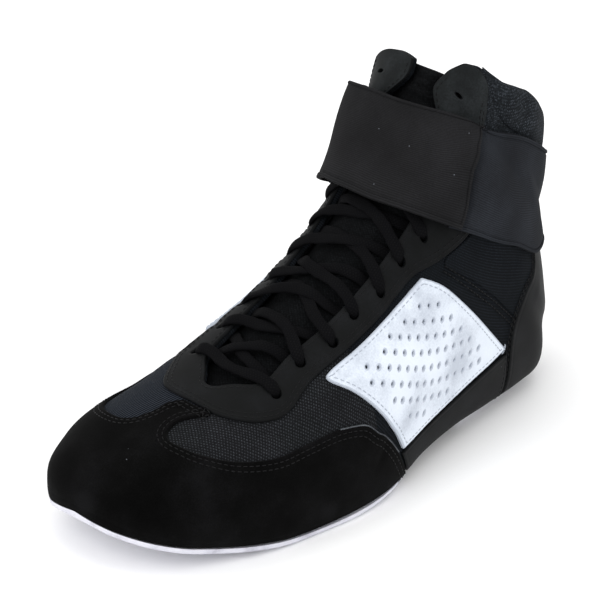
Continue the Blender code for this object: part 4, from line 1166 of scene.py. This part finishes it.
def makeSoles():
    front = np.concatenate([np.linspace(0, 1, 24) ** 1.6, np.linspace(1.1, 8.4, 70)])
    solePiece("front_sole_rubber", front, soleSettings["flare"], soleSettings["gap"],
              np.interp(front, *frontThickness.T) * soleSettings["thick"], "pressed white rubber", "front_sole",
              "white rubber")
    solePiece("waist_board", np.linspace(8.45, 13.8, 50), -soleSettings["boardInset"], soleSettings["boardGap"],
              soleSettings["board"], "lacquered board", "sole_board", "black sole board")
    padTop = soleSettings["boardGap"] + soleSettings["board"] + soleSettings["gap"]
    solePiece("heel_pad_rubber", np.linspace(10.4, 13.6, 40), -soleSettings["padInset"], padTop, 30.0,
              "pressed white rubber", "heel_sole", "white rubber")


makeSoles()

insoleSettings = {"thick": 3.5, "inset": 0.8, "wall": 2.0, "lift": 0.3}


# The insole keeps off the wall of the upper, also where that turns round the heel
def makeInsole():
    rows = np.concatenate([np.linspace(1.5, 3, 14), np.linspace(3.1, 13.93, 66)])
    edges = footEdges(rows, -insoleSettings["inset"])
    along = np.gradient(edges[1], axis=0)
    back = np.abs(along[:, 0]) / np.linalg.norm(along[:, :2], axis=1) * np.interp(rows, (13.4, 13.9), (1, 0.25))
    for edge in edges:
        edge[:, 1] += (insoleSettings["wall"] + insoleSettings["inset"]) * mm * back
    low = fromTable(lastTable, rows, np.ones(len(rows)))[:, 2:] + insoleSettings["lift"] * mm
    betweenEdges("insole_footbed", edges, np.linspace(0, 1, 25), low + insoleSettings["thick"] * mm, low,
                 "brushed tricot lining", "insole", "insole foam")


makeInsole()
finishStitches()
print("stage: soles and insole made")

# Studio: pale floor, wide soft lights, and a camera at the photograph's angle to the shoe. Pixels are the photo's.
studio = {
    # matt coated paper, so even and pale that only the contact shadow shows
    "paper": ("#fafafa #fbfbfb #fcfcfc", (0.0, 0.5, 0.5), 1.5, 60, 0.95, 0.05, 0.05, 0.1, {}),
    "world": 1.12,
    "azimuth": 46.6, "elevation": 26.0, "distance": 1.193, "focalPixels": 2070.0, "frame": 600.0, "film": 36.0,
    "target": (0.0, 0.0, 0.060), "targetPixel": (420.2, 320.5), "aimPixel": (401.0, 302.0), "zoom": 1.34,
    # name, place, width and height, watts, tint
    "lights": (
        ("key_softbox", (0.2, -1.3, 1.1), (1.2, 1.2), 5.4, "#ffffff"),
        ("side_softbox", (1.5, 0.4, 0.9), (1.2, 1.0), 2.4, "#f4f7ff"),
        ("top_softbox", (0.0, 0.1, 1.6), (1.4, 1.4), 4.4, "#ffffff"),
    ),
}


def areaLight(name, position, size, power, tint):
    deselectAll()
    bpy.ops.object.light_add(type="AREA", location=position)
    light = bpy.context.object
    light.name = name
    light.data.shape = "RECTANGLE"
    light.data.size, light.data.size_y = size
    light.data.energy = power
    light.data.color = colour(tint)[:3]
    light.rotation_euler = (Vector((0, 0, 0.05)) - Vector(position)).to_track_quat("-Z", "Y").to_euler()


def makeStudio():
    deselectAll()
    bpy.ops.mesh.primitive_plane_add(size=8, location=(0, 0, 0))
    floor = bpy.context.object
    floor.name = "studio_floor"
    floor.data.materials.append(makeCloth("matt paper floor", studio["paper"]))
    world = bpy.data.worlds.new("soft studio")
    world.use_nodes = True
    world.node_tree.nodes["Background"].inputs["Color"].default_value = colour("#ffffff")
    world.node_tree.nodes["Background"].inputs["Strength"].default_value = studio["world"]
    bpy.context.scene.world = world
    for light in studio["lights"]:
        areaLight(*light)


# A ray through a pixel of the photo, one unit deep, as the camera sees it
def pixelRay(pixel):
    x, y = ((along - studio["frame"] / 2) / studio["focalPixels"] for along in pixel)
    return Vector((x, -y, -1))


def makeCamera():
    azimuth, elevation = (math.radians(studio[name]) for name in ("azimuth", "elevation"))
    level = math.cos(elevation)
    toward = Vector((level * math.sin(azimuth), -level * math.cos(azimuth), math.sin(elevation)))
    turn = toward.to_track_quat("Z", "Y").to_matrix()
    target = Vector(studio["target"]) + Vector(last["toRow"])
    position = target - turn @ (pixelRay(studio["targetPixel"]) * studio["distance"])
    bpy.ops.object.camera_add(location=position)
    camera = bpy.context.object
    camera.rotation_euler = (turn @ pixelRay(studio["aimPixel"])).to_track_quat("-Z", "Y").to_euler()
    camera.data.sensor_width = studio["film"]
    camera.data.lens = studio["focalPixels"] / studio["frame"] * studio["film"] * studio["zoom"]
    camera.data.clip_end = 50
    bpy.context.scene.camera = camera
    bpy.context.scene.view_settings.view_transform = "Standard"
    bpy.context.scene.view_settings.look = "None"


makeStudio()
makeCamera()
print("stage: studio set")
